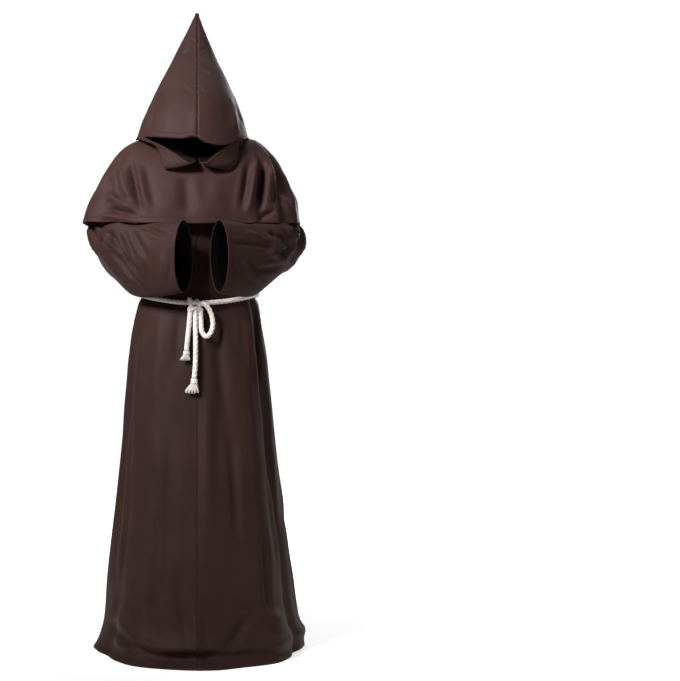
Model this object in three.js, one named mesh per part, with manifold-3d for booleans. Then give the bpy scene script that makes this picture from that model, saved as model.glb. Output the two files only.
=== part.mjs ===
// Monk's habit with a pointed hood, a shoulder cape, bell sleeves and a knotted rope belt.
// Units are millimetres. +Z is up, the front faces -Y, and +X is the viewer's right.
// The origin is midway between the shoulders, at the base of the neck.
import * as THREE from 'three';
import { mergeVertices } from 'three/addons/utils/BufferGeometryUtils.js';
import Module from 'manifold-3d';

const wasm = await Module();
wasm.setup();

// Driving dimensions
const WALL = 2;                 // cloth thickness, hems and turned edges included
const SEAM = 0.3;               // gap between two pieces at a seam
const SEAM_SHARE = 0.55;        // share of the gap that each side keeps, a little over half
const FLOOR = -1432;            // floor that the hem rests on
const ROPE_RADIUS = 7;
const ROPE_SIDES = 8;
const STEP_ANGLE = 0.01;        // small step for surface normals, in radians
const STEP_LEVEL = 0.02;        // small step for surface normals, in table rows

const DEGREE = Math.PI / 180;

// A section is a closed curve round the garment's axis. Its half sizes are measured from that axis,
// and its height varies between side, front and back.
const SECTION_COLUMNS = ['left', 'right', 'front', 'back', 'zLeft', 'zRight', 'zFront', 'zBack', 'shiftY'];

const ROBE_SECTIONS = readTable(SECTION_COLUMNS, [
  [90, 90, 90, 82, 39, 39, -38, 9, 0],
  [130, 125, 102, 92, 26, 26, -64, -12, 0],
  [168, 160, 112, 104, 6, 8, -90, -40, 0],
  [188, 180, 118, 110, -24, -22, -114, -70, 0],
  [188, 181, 120, 112, -90, -88, -150, -120, 0],
  [168, 165, 121, 112, -180, -180, -205, -190, 0],
  [154, 155, 118, 110, -290, -290, -300, -290, 0],
  [163, 169, 122, 115, -378, -378, -398, -386, 0],
  [159, 164, 114, 106, -420, -420, -446, -426, 0],
  [173, 178, 124, 115, -452, -452, -484, -462, 0],
  [191, 190, 149, 136, -552, -552, -572, -560, 0],
  [208, 210, 178, 164, -739, -739, -742, -739, 0],
  [219, 226, 208, 192, -900, -900, -900, -900, 0],
  [235, 248, 238, 220, -1070, -1070, -1070, -1070, 0],
  [253, 268, 268, 248, -1230, -1230, -1230, -1230, 0],
  [262, 284, 292, 270, -1340, -1340, -1336, -1340, 0],
  [274, 298, 318, 284, -1390, -1382, -1385, -1390, 0],
  [284, 301, 322, 292, -1414, -1412, -1412, -1414, 0],
  [294, 303, 354, 306, FLOOR, FLOOR, FLOOR, FLOOR, 0],
]);

const CAPE_SECTIONS = readTable(SECTION_COLUMNS, [
  [92, 92, 92, 84, 42, 42, -35, 12, 0],
  [135, 130, 110, 100, 35, 36, -56, -4, 0],
  [180, 170, 126, 116, 24, 27, -82, -30, 0],
  [216, 199, 138, 128, 4, 5, -106, -58, 0],
  [246, 226, 147, 138, -30, -30, -130, -95, 0],
  [270, 248, 154, 147, -72, -72, -152, -138, 0],
  [292, 266, 160, 155, -115, -112, -173, -182, 0],
  [314, 285, 165, 163, -156, -152, -192, -228, 0],
  [333, 298, 169, 172, -212, -215.6, -220.6, -298, 0],
]);

const HOOD_SECTIONS = readTable(SECTION_COLUMNS, [
  [92, 92, 92, 84, 43.6, 43.6, -33.4, 13.6, 0],
  [150, 136, 149, 94, 41, 41, -52, 26, 0],
  [166, 143, 155, 100, 36, 37, -44, 46, 0],
  [177, 147, 158, 106, 30, 35, -24, 70, 0],
  [180, 149, 164, 110, 30, 35, -9, 88, 0],
  [177, 147, 171, 114, 33, 36, 10, 102, 0],
  [163, 136, 162, 119, 74, 72, 62, 132, 2],
  [146, 124, 149, 118, 110, 108, 106, 160, 5],
  [130, 109, 131, 110, 146, 146, 144, 188, 8],
  [112, 93, 109, 97, 187, 187, 184, 218, 12],
  [92, 75, 84, 76, 226, 226, 224, 248, 16],
  [70, 54, 58, 52, 268, 268, 268, 280, 19],
  [47, 34, 36, 32, 315, 315, 315, 320, 21],
  [24, 17, 17, 14, 362, 362, 362, 364, 22],
  [3.5, 3.5, 3, 3, 402, 402, 402, 402, 22],
]);
const HOOD_BRIM_ROW = 5;
// Where the hood's free edge lies on each row under the brim, in degrees from the front
const HOOD_EDGE_ANGLES = [2, 2, 15, 31, 47, 58];
const BRIM_DROOP = 22;          // how far the brim's right half hangs below its left half
const BRIM_NOTCH = 11;          // rise of the brim at the centre seam
const BRIM_ROWS = 1.2;          // rows over the brim in which both fade
const DROOP_ANGLE = 30;         // where the droop is deepest, and how wide it is, in degrees
const DROOP_WIDTH = 27;
const NOTCH_ANGLE = -3;         // the same for the notch
const NOTCH_WIDTH = 7;

// Rolled edges under the brim: how far each hangs below the neck's V, the angles from the front where
// it hangs lowest and where it ends, over how many degrees it ends, and how far it stands out.
const LAPELS = {
  left: { drop: 48, lowest: 35, end: 46, fade: 9, bulge: 5, bulgeAngle: 38, bulgeWidth: 16 },
  right: { drop: 52, lowest: 36, end: 58, fade: 13, bulge: 14, bulgeAngle: 46, bulgeWidth: 16 },
};
const LAPEL_START = 2;          // angle of the neck's V, from where the rolled edges widen
const LAPEL_ROWS = 0.75;        // how many rows up the hood the rolled edges reach

// A fold is a ridge (height over 0) or trough that runs down a piece. Angles are in degrees from the
// front towards +X, and rows are rows of the piece's section table.
const FOLD_COLUMNS = ['angleTop', 'angleHem', 'width', 'height', 'rowStart', 'rowFull', 'rowEnd'];

const ROBE_FOLDS = readTable(FOLD_COLUMNS, [
  [-30, -36, 11, 7, 8.5, 12, 17],
  [-66, -62, 7, -9, 8.5, 12, 17],
  [-88, -84, 8, 7, 9, 13, 18],
  [-6, -10, 14, -5, 8.5, 12, 17],
  [18, 24, 10, -9, 8.5, 12, 17],
  [42, 46, 9, 8, 8.5, 11, 17],
  [66, 68, 6, -14, 7.5, 9.5, 17],
  [92, 90, 8, 8, 9, 13, 18],
  [118, 116, 8, -9, 8.5, 12, 18],
  [137, 135, 8, 9, 8.5, 12, 18],
  [158, 156, 7, -12, 8.5, 11, 18],
  [176, 175, 9, 8, 9, 13, 18],
  [202, 205, 6, -16, 7.5, 9.5, 18],
  [219, 222, 8, 10, 8.5, 12, 18],
  [243, 245, 8, -8, 8.5, 12, 18],
]);

// A break is a soft bulge across the cloth where the long skirt meets the floor.
const BREAK_COLUMNS = ['angle', 'width', 'height', 'row', 'rowWidth'];

const ROBE_BREAKS = readTable(BREAK_COLUMNS, [
  [-42, 16, 13, 15.9, 0.7],
  [50, 17, 12, 15.8, 0.8],
  [4, 26, -11, 16.7, 0.5],
  [84, 14, 8, 16.1, 0.6],
  [150, 20, 10, 16.2, 0.7],
  [212, 22, 9, 15.9, 0.7],
]);

const CAPE_FOLDS = readTable(FOLD_COLUMNS, [
  [-80, -47, 7, -16, 1.5, 4.5, 8],
  [-62, -66, 8, 9, 2, 6, 8],
  [-20, -24, 12, 5, 2.5, 6, 8],
  [-4, -6, 7, -4, 2.5, 6, 8],
  [66, 40, 5, -13, 1.5, 4, 8],
  [74, 48, 4.5, 8, 1.5, 4, 8],
  [82, 56, 5, -8, 1.5, 4.5, 8],
  [94, 68, 7, 9, 2, 6, 8],
  [20, 22, 8, -5, 3, 6, 8],
  [124, 128, 8, -10, 3, 6, 8],
  [140, 152, 5.5, 14, 1.5, 6, 8],
  [160, 166, 4.5, -17, 2, 6, 8],
  [174, 176, 3.5, 13, 1.5, 6, 8],
  [180, 180.5, 2.8, -8, 2, 6, 8],
  [186, 185.5, 3, 11, 2, 6, 8],
  [192, 191, 3, -11, 2, 6, 8],
  [200, 198, 3.6, 13, 2, 6, 8],
  [207, 204.5, 3, -12, 2, 6, 8],
  [213, 211, 4, 13, 2, 6, 8],
  [222, 220, 5, -18, 1.5, 5, 8],
  [236, 236, 7, 10, 2, 6, 8],
]);

// A sleeve section is an ellipse: its centre, its half axis towards the elbow side (tall),
// and its half axis towards the body (wide).
const SLEEVE_COLUMNS = ['x', 'y', 'z', 'tallX', 'tallY', 'tallZ', 'wideX', 'wideY', 'wideZ'];

const SLEEVE_LEFT_SECTIONS = readTable(SLEEVE_COLUMNS, [
  [-128, 0, -112, 0, 64, 0, 4, 0, -74],
  [-172, 0, -112, 0, 66, 0, 22, 0, -80],
  [-206, 2, -130, 0, 70, -6, 46, 0, -70],
  [-233, 2, -170, 0, 74, -12, 52, 0, -44],
  [-251, 0, -212, 0, 78, -22, 50, -4, -14],
  [-257, -8, -252, -8, 76, -44, 46, -8, -4],
  [-244, -34, -281, -11, 62, -63, 42, 8, 0],
  [-219, -66, -301, -5, 41, -84, 35, 20, 0],
  [-182, -100, -322, -2, 20, -99, 29, 28, 0],
  [-132, -139, -328, 0, 8, -104, 27, 30, 0],
  [-84, -174, -325, 0, 3, -102, 26, 31, 0],
  [-38, -208, -319, 0, 0, -100, 26, 32, 0],
]);

const SLEEVE_RIGHT_SECTIONS = readTable(SLEEVE_COLUMNS, [
  [124, 0, -112, 0, 64, 0, -4, 0, -74],
  [164, 0, -114, 0, 66, 0, -20, 0, -80],
  [190, 2, -134, 0, 70, -6, -40, 0, -70],
  [215, 3, -172, 0, 70, -12, -45, 0, -46],
  [237, 9, -217, 0, 66, -22, -42, -4, -16],
  [255, -6, -257, 8, 68, -40, -45, -8, -4],
  [252, -34, -278, 9, 58, -60, -42, 8, 0],
  [226, -66, -293, 2, 37, -74, -35, 20, 0],
  [191, -98, -314, -4, 18, -90, -29, 28, 0],
  [150, -134, -327, 1, 8, -101, -27, 30, 0],
  [104, -171, -325, 0, 3, -103, -26, 31, 0],
  [60, -206, -319, 0, 0, -100, -26, 32, 0],
]);

// The rope belt follows the robe's waist and runs into the knot at the front.
const WAIST_ROW = 8;
const BELT_CLEARANCE = 2;       // the facets of the robe stand proud of its true curve by less than this
const BELT_FORWARD = 10;        // how far the belt stands forward where it meets the knot
const BELT_FORWARD_FROM = 0.9;  // cosine of the angle from the front where it starts to
const KNOT_CENTRE = new THREE.Vector3(-8, -141, -453);
const KNOT_RADII = new THREE.Vector3(24, 16, 22);
const KNOT_SIDES = 16;
const KNOT_LOBES = 3;           // strands that show round the knot
const KNOT_GROOVE = 0.07;       // depth of the grooves between them, as a share of the radius

// Routes of the free rope ends, from inside the knot outwards
const LOOP_ROUTE = [
  [2, -144, -447], [20, -150, -450], [37, -148, -474], [43, -150, -508],
  [35, -156, -533], [24, -158, -541], [13, -155, -528], [10, -148, -496], [9, -143, -462],
];
const TAIL_SHORT_ROUTE = [[-20, -142, -458], [-22, -147, -490], [-26, -156, -531], [-31, -164, -580]];
const TAIL_LONG_ROUTE = [
  [-5, -143, -462], [-6, -147, -500], [-5, -160, -560], [-6, -171, -620], [-9, -178, -656],
];

const STRAND_RADIUS = 1.15;
const HEAD_SIDES = 12;
const HEAD_RINGS = [[0, 0.72], [0.25, 1], [0.75, 1], [1, 1.1]];     // shares of the head's length and radius
const ROOT_REACH = 0.86;            // share of the head's radius that the strands' roots fill
const ROOT_DEPTH = 2;               // how far the roots reach up into the head
const TURN_PER_STRAND = 2.39996;    // golden angle, which spreads the strands evenly over the head
const TUFT_COLUMNS = ['x', 'y', 'z', 'headRadius', 'headLength', 'strandLength', 'spread', 'count'];
const TUFTS = {
  tuft_short: readTable(TUFT_COLUMNS, [[-31.2, -164.5, -582, 9, 9, 19, 1.9, 24]])[0],
  tuft_long: readTable(TUFT_COLUMNS, [[-9.2, -178.4, -658, 9.6, 14, 29, 2.7, 30]])[0],
};

// Materials
const brownCloth = new THREE.MeshStandardMaterial({ color: 0x3d2b28, roughness: 0.55, metalness: 0 });
const whiteRope = new THREE.MeshStandardMaterial({ color: 0xeae0da, roughness: 0.9, metalness: 0 });

/** Turn rows of numbers into objects with named fields. */
function readTable(columns, rows) {
  return rows.map((row) => Object.fromEntries(columns.map((column, index) => [column, row[index]])));
}

/** Read a table between its rows with a Catmull-Rom curve through each column. */
function readBetween(table, level) {
  const last = table.length - 1;
  const base = Math.min(Math.max(Math.floor(level), 0), last - 1);
  const t = level - base;
  const rows = [base - 1, base, base + 1, base + 2].map((row) => table[Math.min(Math.max(row, 0), last)]);
  const result = {};
  for (const column of Object.keys(table[0])) {
    const [a, b, c, d] = rows.map((row) => row[column]);
    result[column] = b + 0.5 * t * (c - a + t * (2 * a - 5 * b + 4 * c - d + t * (3 * (b - c) + d - a)));
  }
  return result;
}

/** Point on a section at an angle from the front, with its outline moved out by a distance. */
function sectionPoint(section, angle, outwards) {
  const sine = Math.sin(angle);
  const cosine = Math.cos(angle);
  const halfWidth = sine > 0 ? section.right : section.left;
  const halfDepth = cosine > 0 ? section.front : section.back;
  const zSide = sine > 0 ? section.zRight : section.zLeft;
  const zEnd = cosine > 0 ? section.zFront : section.zBack;
  const point = new THREE.Vector3(sine * halfWidth, -cosine * halfDepth + section.shiftY, 0);
  const reach = Math.hypot(sine * halfWidth, cosine * halfDepth);
  point.x *= 1 + outwards / reach;
  point.y -= (cosine * halfDepth * outwards) / reach;
  point.z = zSide + (zEnd - zSide) * cosine * cosine;
  return point;
}

/** Smooth step from 0 to 1. */
function ease(value) {
  const t = Math.min(Math.max(value, 0), 1);
  return t * t * (3 - 2 * t);
}

/** Signed difference of two angles in degrees, from -180 to 180. */
function angleBetween(a, b) {
  return ((((a - b) % 360) + 540) % 360) - 180;
}

/** Sum of the folds of a piece at an angle (in degrees) and a table level. */
function foldHeight(folds, degrees, level) {
  let height = 0;
  for (const fold of folds) {
    const along = (level - fold.rowStart) / (fold.rowEnd - fold.rowStart);
    const centre = fold.angleTop + (fold.angleHem - fold.angleTop) * ease(along);
    const strength = ease((level - fold.rowStart) / (fold.rowFull - fold.rowStart));
    const offset = angleBetween(degrees, centre) / fold.width;
    height += fold.height * strength * Math.exp(-offset * offset);
  }
  return height;
}

/** Sum of the bulges across the cloth near the floor. */
function breakHeight(breaks, degrees, level) {
  let height = 0;
  for (const bulge of breaks) {
    const across = angleBetween(degrees, bulge.angle) / bulge.width;
    const up = (level - bulge.row) / bulge.rowWidth;
    height += bulge.height * Math.exp(-across * across - up * up);
  }
  return height;
}

/** The robe's outer surface. */
function robeSurface(angle, level) {
  const degrees = angle / DEGREE;
  const folds = foldHeight(ROBE_FOLDS, degrees, level) + breakHeight(ROBE_BREAKS, degrees, level);
  return sectionPoint(readBetween(ROBE_SECTIONS, level), angle, folds);
}

/** The cape's outer surface. */
function capeSurface(angle, level) {
  return sectionPoint(readBetween(CAPE_SECTIONS, level), angle, foldHeight(CAPE_FOLDS, angle / DEGREE, level));
}

/** How far the rolled edge under the brim hangs and stands out at an angle (in degrees) and a level. */
function rolledEdge(degrees, level) {
  const lapel = degrees < 0 ? LAPELS.left : LAPELS.right;
  const away = Math.abs(degrees);
  const ramp = Math.min(Math.max((away - LAPEL_START) / (lapel.lowest - LAPEL_START), 0), 1);
  const strength = ease(level) * Math.exp(-((Math.max(level - 1, 0) / LAPEL_ROWS) ** 2));
  const standing = Math.exp(-(((away - lapel.bulgeAngle) / lapel.bulgeWidth) ** 2));
  return {
    drop: lapel.drop * strength * ramp * ease((lapel.end - away) / lapel.fade),
    bulge: lapel.bulge * strength * standing,
  };
}

/** The hood's outer surface, whose brim droops on the right and has a small notch at the front. */
function hoodSurface(angle, level) {
  const degrees = angleBetween(angle / DEGREE, 0);
  const rolled = rolledEdge(degrees, level);
  const point = sectionPoint(readBetween(HOOD_SECTIONS, level), angle, rolled.bulge);
  const nearBrim = Math.exp(-(((level - HOOD_BRIM_ROW) / BRIM_ROWS) ** 2));
  const droop = BRIM_DROOP * Math.exp(-(((degrees - DROOP_ANGLE) / DROOP_WIDTH) ** 2));
  const notch = BRIM_NOTCH * Math.exp(-(((degrees - NOTCH_ANGLE) / NOTCH_WIDTH) ** 2));
  const above = level >= HOOD_BRIM_ROW ? 1 : 0;
  point.z += above * nearBrim * (notch - droop) - rolled.drop;
  return point;
}

/** The point on the inside of a cloth wall, one wall thickness under its surface. */
function underSurface(surface, angle, level, lastLevel, depth) {
  const before = Math.max(level - STEP_LEVEL, 0);
  const after = Math.min(level + STEP_LEVEL, lastLevel);
  const along = surface(angle, after).sub(surface(angle, before));
  const across = surface(angle + STEP_ANGLE, level).sub(surface(angle - STEP_ANGLE, level));
  const normal = across.cross(along).normalize();
  return surface(angle, level).addScaledVector(normal, depth);
}

/**
 * Closed wall from two grids of points. outer[row][column] and inner[row][column] are Vector3.
 * wraps joins the last column to the first, and absent(row, column) leaves a cell open.
 */
function wallGeometry(outer, inner, wraps, absent = () => false) {
  const rows = outer.length;
  const columns = outer[0].length;
  const cells = wraps ? columns : columns - 1;
  const positions = [];
  const index = [];
  for (const grid of [outer, inner]) {
    for (const row of grid) {
      for (const point of row) {
        positions.push(point.x, point.y, point.z);
      }
    }
  }
  const layer = rows * columns;
  const at = (row, column) => row * columns + (column % columns);
  const has = (row, column) => {
    const wrapped = wraps ? (column + cells) % cells : column;
    return row >= 0 && row < rows - 1 && wrapped >= 0 && wrapped < cells && !absent(row, wrapped);
  };
  const quad = (a, b, c, d) => index.push(a, b, c, a, c, d);
  for (let row = 0; row < rows - 1; row += 1) {
    for (let column = 0; column < cells; column += 1) {
      if (!has(row, column)) {
        continue;
      }
      const a = at(row, column);
      const b = at(row, column + 1);
      const c = at(row + 1, column + 1);
      const d = at(row + 1, column);
      quad(a, d, c, b);
      quad(a + layer, b + layer, c + layer, d + layer);
      const rims = [[-1, 0, a, b], [0, 1, b, c], [1, 0, c, d], [0, -1, d, a]];
      for (const [rowStep, columnStep, from, to] of rims) {
        if (!has(row + rowStep, column + columnStep)) {
          quad(from, to, to + layer, from + layer);
        }
      }
    }
  }
  const geometry = new THREE.BufferGeometry();
  geometry.setAttribute('position', new THREE.Float32BufferAttribute(positions, 3));
  geometry.setIndex(index);
  return facingOut(dropUnused(geometry));
}

/** Closed solid from a stack of rings, with a fan over each end. */
function stackGeometry(rings) {
  const count = rings[0].length;
  const positions = rings.flat().flatMap((point) => [point.x, point.y, point.z]);
  const index = [];
  for (let row = 0; row < rings.length - 1; row += 1) {
    for (let column = 0; column < count; column += 1) {
      const a = row * count + column;
      const b = row * count + ((column + 1) % count);
      index.push(a, a + count, b + count, a, b + count, b);
    }
  }
  for (const [row, flip] of [[0, false], [rings.length - 1, true]]) {
    const centre = rings[row].reduce((sum, point) => sum.add(point), new THREE.Vector3()).divideScalar(count);
    const hub = positions.length / 3;
    positions.push(centre.x, centre.y, centre.z);
    for (let column = 0; column < count; column += 1) {
      const a = row * count + column;
      const b = row * count + ((column + 1) % count);
      index.push(...(flip ? [a, hub, b] : [a, b, hub]));
    }
  }
  const geometry = new THREE.BufferGeometry();
  geometry.setAttribute('position', new THREE.Float32BufferAttribute(positions, 3));
  geometry.setIndex(index);
  return facingOut(geometry);
}

/** Turn a closed geometry's faces over if they point inwards. */
function facingOut(geometry) {
  const position = geometry.attributes.position;
  const index = geometry.index.array;
  const corners = [new THREE.Vector3(), new THREE.Vector3(), new THREE.Vector3()];
  let volume = 0;
  for (let face = 0; face < index.length; face += 3) {
    corners.forEach((corner, place) => corner.fromBufferAttribute(position, index[face + place]));
    volume += corners[0].dot(corners[1].cross(corners[2]));
  }
  for (let face = 0; volume < 0 && face < index.length; face += 3) {
    [index[face + 1], index[face + 2]] = [index[face + 2], index[face + 1]];
  }
  return geometry;
}

/** Keep only the vertices that a face uses. */
function dropUnused(geometry) {
  const flat = geometry.toNonIndexed();
  flat.deleteAttribute('normal');
  flat.deleteAttribute('uv');
  return mergeVertices(flat, 1e-4);
}

/** Make a manifold solid from a closed geometry. */
function toSolid(geometry) {
  const bare = geometry.clone();
  bare.deleteAttribute('normal');
  bare.deleteAttribute('uv');
  const merged = mergeVertices(bare, 1e-4);
  const triVerts = Uint32Array.from(merged.index.array);
  const vertProperties = Float32Array.from(merged.attributes.position.array);
  return new wasm.Manifold(new wasm.Mesh({ numProp: 3, vertProperties, triVerts }));
}

/** Make a geometry from a manifold solid. */
function toGeometry(solid) {
  const mesh = solid.getMesh();
  const geometry = new THREE.BufferGeometry();
  geometry.setAttribute('position', new THREE.BufferAttribute(Float32Array.from(mesh.vertProperties), 3));
  geometry.setIndex(new THREE.BufferAttribute(Uint32Array.from(mesh.triVerts), 1));
  return geometry;
}

/** Evenly spread numbers from the first to the last of each stretch [from, to, count]. */
function spread(stretches) {
  const values = [stretches[0][0]];
  for (const [from, to, count] of stretches) {
    for (let step = 1; step <= count; step += 1) {
      values.push(from + ((to - from) * step) / count);
    }
  }
  return values;
}

/** Angle step that moves a point by half a seam gap along its section. */
function halfSeamAngle(surface, angle, level) {
  const ahead = surface(angle + STEP_ANGLE, level);
  const behind = surface(angle - STEP_ANGLE, level);
  return (SEAM * SEAM_SHARE * 2 * STEP_ANGLE) / ahead.distanceTo(behind);
}

/** Grid of outer and inner points. angles is a list of degrees, trimmed at both ends for a seam. */
function panelGeometry(surface, angles, levels, lastLevel) {
  const outer = [];
  const inner = [];
  for (const level of levels) {
    const radians = angles.map((value) => value * DEGREE);
    const end = radians.length - 1;
    radians[0] += halfSeamAngle(surface, radians[0], level);
    radians[end] -= halfSeamAngle(surface, radians[end], level);
    outer.push(radians.map((angle) => surface(angle, level)));
    inner.push(radians.map((angle) => underSurface(surface, angle, level, lastLevel, WALL)));
  }
  return wallGeometry(outer, inner, false);
}

/** Lay the hem's lowest points flat on the floor. */
function restOnFloor(geometry) {
  const position = geometry.attributes.position;
  for (let vertex = 0; vertex < position.count; vertex += 1) {
    position.setZ(vertex, Math.max(position.getZ(vertex), FLOOR));
  }
  return geometry;
}

/** Ring of points on a sleeve's section, moved in or out by a distance. */
function sleeveRing(section, count, outwards) {
  const centre = new THREE.Vector3(section.x, section.y, section.z);
  const tall = new THREE.Vector3(section.tallX, section.tallY, section.tallZ);
  const wide = new THREE.Vector3(section.wideX, section.wideY, section.wideZ);
  tall.setLength(tall.length() + outwards);
  wide.setLength(wide.length() + outwards);
  const turn = section.x < 0 ? 1 : -1;
  return Array.from({ length: count }, (_, column) => {
    const angle = (turn * 2 * Math.PI * column) / count;
    return centre.clone().addScaledVector(tall, Math.cos(angle)).addScaledVector(wide, -Math.sin(angle));
  });
}

/** Rings of a sleeve at the given table levels. */
function sleeveRings(sections, levels, count, outwards) {
  return levels.map((level) => sleeveRing(readBetween(sections, level), count, outwards));
}

/** Tube round a route, with closed ends. */
function ropeGeometry(route, steps) {
  const section = new THREE.Shape();
  for (let side = 0; side < ROPE_SIDES; side += 1) {
    const angle = (2 * Math.PI * side) / ROPE_SIDES;
    const draw = side === 0 ? 'moveTo' : 'lineTo';
    section[draw](ROPE_RADIUS * Math.cos(angle), ROPE_RADIUS * Math.sin(angle));
  }
  section.closePath();
  const extrudePath = new THREE.CatmullRomCurve3(route.map((point) => new THREE.Vector3(...point)));
  return new THREE.ExtrudeGeometry(section, { steps, extrudePath, bevelEnabled: false });
}

/** Small deterministic number from 0 to 1 for a strand. */
function scatter(seed) {
  const value = Math.sin(seed * 127.1) * 43758.5453;
  return value - Math.floor(value);
}

/** Frayed rope end: a bound head with loose strands fused into it. */
function tuftGeometry(tuft) {
  const headTop = tuft.z;
  const headRings = HEAD_RINGS.map(([down, scale]) => {
    const radius = tuft.headRadius * scale;
    return Array.from({ length: HEAD_SIDES }, (_, side) => {
      const angle = (-2 * Math.PI * side) / HEAD_SIDES;
      const height = headTop - down * tuft.headLength;
      return new THREE.Vector3(tuft.x + radius * Math.cos(angle), tuft.y + radius * Math.sin(angle), height);
    });
  });
  let solid = toSolid(stackGeometry(headRings));
  for (let strand = 0; strand < tuft.count; strand += 1) {
    const ring = Math.sqrt((strand + 0.5) / tuft.count);
    const angle = strand * TURN_PER_STRAND;
    const reach = tuft.headRadius * ROOT_REACH * ring;
    const fan = 1 + (tuft.spread - 1) * (0.75 + 0.25 * scatter(strand + 1));
    const length = tuft.strandLength * (0.82 + 0.18 * scatter(strand + 40));
    const rootZ = headTop - tuft.headLength + ROOT_DEPTH;
    const rings = [[0, 1, 1], [0.6, 0.55 + 0.45 * fan, 0.95], [1, fan, 0.6]].map(([down, out, thick]) => {
      const x = tuft.x + reach * out * Math.cos(angle);
      const y = tuft.y + reach * Math.min(out, 1.15) * Math.sin(angle);
      const half = STRAND_RADIUS * thick;
      return Array.from({ length: 3 }, (_, side) => {
        const turn = (-2 * Math.PI * side) / 3 + strand;
        return new THREE.Vector3(x + half * Math.cos(turn), y + half * Math.sin(turn), rootZ - down * length);
      });
    });
    solid = solid.add(toSolid(stackGeometry(rings)));
  }
  return toGeometry(solid);
}

// Levels of the grids, in rows of each section table
const ROBE_LEVELS = spread([[0, 18, 18]]);
const ROBE_LAST = ROBE_SECTIONS.length - 1;
const CAPE_LEVELS = spread([[0, 8, 8]]);
const CAPE_LAST = CAPE_SECTIONS.length - 1;
const HOOD_LAST = HOOD_SECTIONS.length - 1;
const SLEEVE_COLUMNS_ROUND = 20;
const SLEEVE_LEVELS = spread([[0, 11, 11]]);
const SLEEVE_INNER_LEVELS = [0, 1, 2, 3];

/** Solid of everything inside the robe's outer surface, from the neck to below the armholes. */
function robeCore() {
  const rings = [0, 1, 2, 3, 3.5, 4, 4.5, 5, 6, 7].map((level) => (
    spread([[0, 356, 89]]).map((value) => (
      underSurface(robeSurface, value * DEGREE, level, ROBE_LAST, -SEAM)
    ))
  ));
  return toSolid(stackGeometry(rings));
}

/** The two front panels and the back panel, with the armholes cut out. */
function buildRobe(armholes) {
  const panels = {
    robe_front_left: [[-90, 0, 15]],
    robe_front_right: [[0, 54, 9], [54, 78, 6], [78, 90, 2]],
    robe_back: [[90, 147, 9], [147, 270, 21]],
  };
  return Object.entries(panels).map(([name, stretches]) => {
    const cloth = panelGeometry(robeSurface, spread(stretches), ROBE_LEVELS, ROBE_LAST);
    const cut = armholes.reduce((solid, hole) => solid.subtract(hole), toSolid(restOnFloor(cloth)));
    return makeMesh(name, toGeometry(cut), brownCloth);
  });
}

/** One sleeve, which starts on the robe's surface and ends in an open cuff. */
function buildSleeve(name, sections, core) {
  const outer = sleeveRings(sections, SLEEVE_LEVELS, SLEEVE_COLUMNS_ROUND, 0);
  const inner = sleeveRings(sections, SLEEVE_LEVELS, SLEEVE_COLUMNS_ROUND, -WALL);
  const whole = toSolid(wallGeometry(outer, inner, true)).subtract(core);
  const pieces = whole.decompose();
  const largest = pieces.reduce((best, piece) => (piece.volume() > best.volume() ? piece : best));
  return makeMesh(name, toGeometry(largest), brownCloth);
}

/** Solid of the hollow of a sleeve near the shoulder, which is the armhole. */
function armholeSolid(sections) {
  return toSolid(stackGeometry(sleeveRings(sections, SLEEVE_INNER_LEVELS, SLEEVE_COLUMNS_ROUND, -WALL)));
}

/** The cape, one piece round the shoulders. */
function buildCape() {
  const stretches = [[-90, -40, 10], [-40, 35, 8], [35, 95, 17], [95, 132, 4], [132, 225, 28], [225, 270, 5]];
  const angles = spread(stretches).slice(0, -1);
  const outer = CAPE_LEVELS.map((level) => angles.map((value) => capeSurface(value * DEGREE, level)));
  const inner = CAPE_LEVELS.map((level) => angles.map((value) => (
    underSurface(capeSurface, value * DEGREE, level, CAPE_LAST, WALL)
  )));
  return makeMesh('cape', wallGeometry(outer, inner, true), brownCloth);
}

/** One half of the hood. side is 1 for the half on +X and -1 for the half on -X. */
function buildHoodHalf(name, side) {
  const sideColumns = 11;
  const brimColumns = 6;
  const levels = spread([[0, HOOD_LAST, HOOD_LAST]]);
  const outer = [];
  const inner = [];
  for (const level of levels) {
    const under = level < HOOD_BRIM_ROW;
    const edge = HOOD_EDGE_ANGLES[Math.min(level, HOOD_BRIM_ROW)];
    const degrees = spread([[180, edge, sideColumns], [edge, under ? edge : 0, brimColumns]]);
    const radians = degrees.map((value) => side * value * DEGREE);
    radians[0] -= side * halfSeamAngle(hoodSurface, radians[0], level);
    if (!under) {
      radians[radians.length - 1] += side * halfSeamAngle(hoodSurface, 0, level);
    }
    outer.push(radians.map((angle) => hoodSurface(angle, level)));
    inner.push(radians.map((angle) => underSurface(hoodSurface, angle, level, HOOD_LAST, -WALL)));
  }
  const absent = (row, column) => row < HOOD_BRIM_ROW && column >= sideColumns;
  const geometry = wallGeometry(outer, inner, false, absent);
  return makeMesh(name, geometry, brownCloth);
}

/** Lumpy knot, turned on its own axis and stretched to its three radii. */
function knotSolid(grow) {
  const rings = spread([[-80, 80, 8]]).map((latitude) => (
    Array.from({ length: KNOT_SIDES }, (_, side) => {
      const angle = (2 * Math.PI * side) / KNOT_SIDES;
      const groove = 1 - KNOT_GROOVE * Math.cos(KNOT_LOBES * angle + latitude * DEGREE * 2);
      const ring = Math.cos(latitude * DEGREE) * groove;
      return new THREE.Vector3(
        KNOT_CENTRE.x + (KNOT_RADII.x + grow) * ring * Math.cos(angle),
        KNOT_CENTRE.y + (KNOT_RADII.y + grow) * ring * Math.sin(angle),
        KNOT_CENTRE.z - (KNOT_RADII.z + grow) * Math.sin(latitude * DEGREE),
      );
    })
  ));
  return toSolid(stackGeometry(rings));
}

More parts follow.
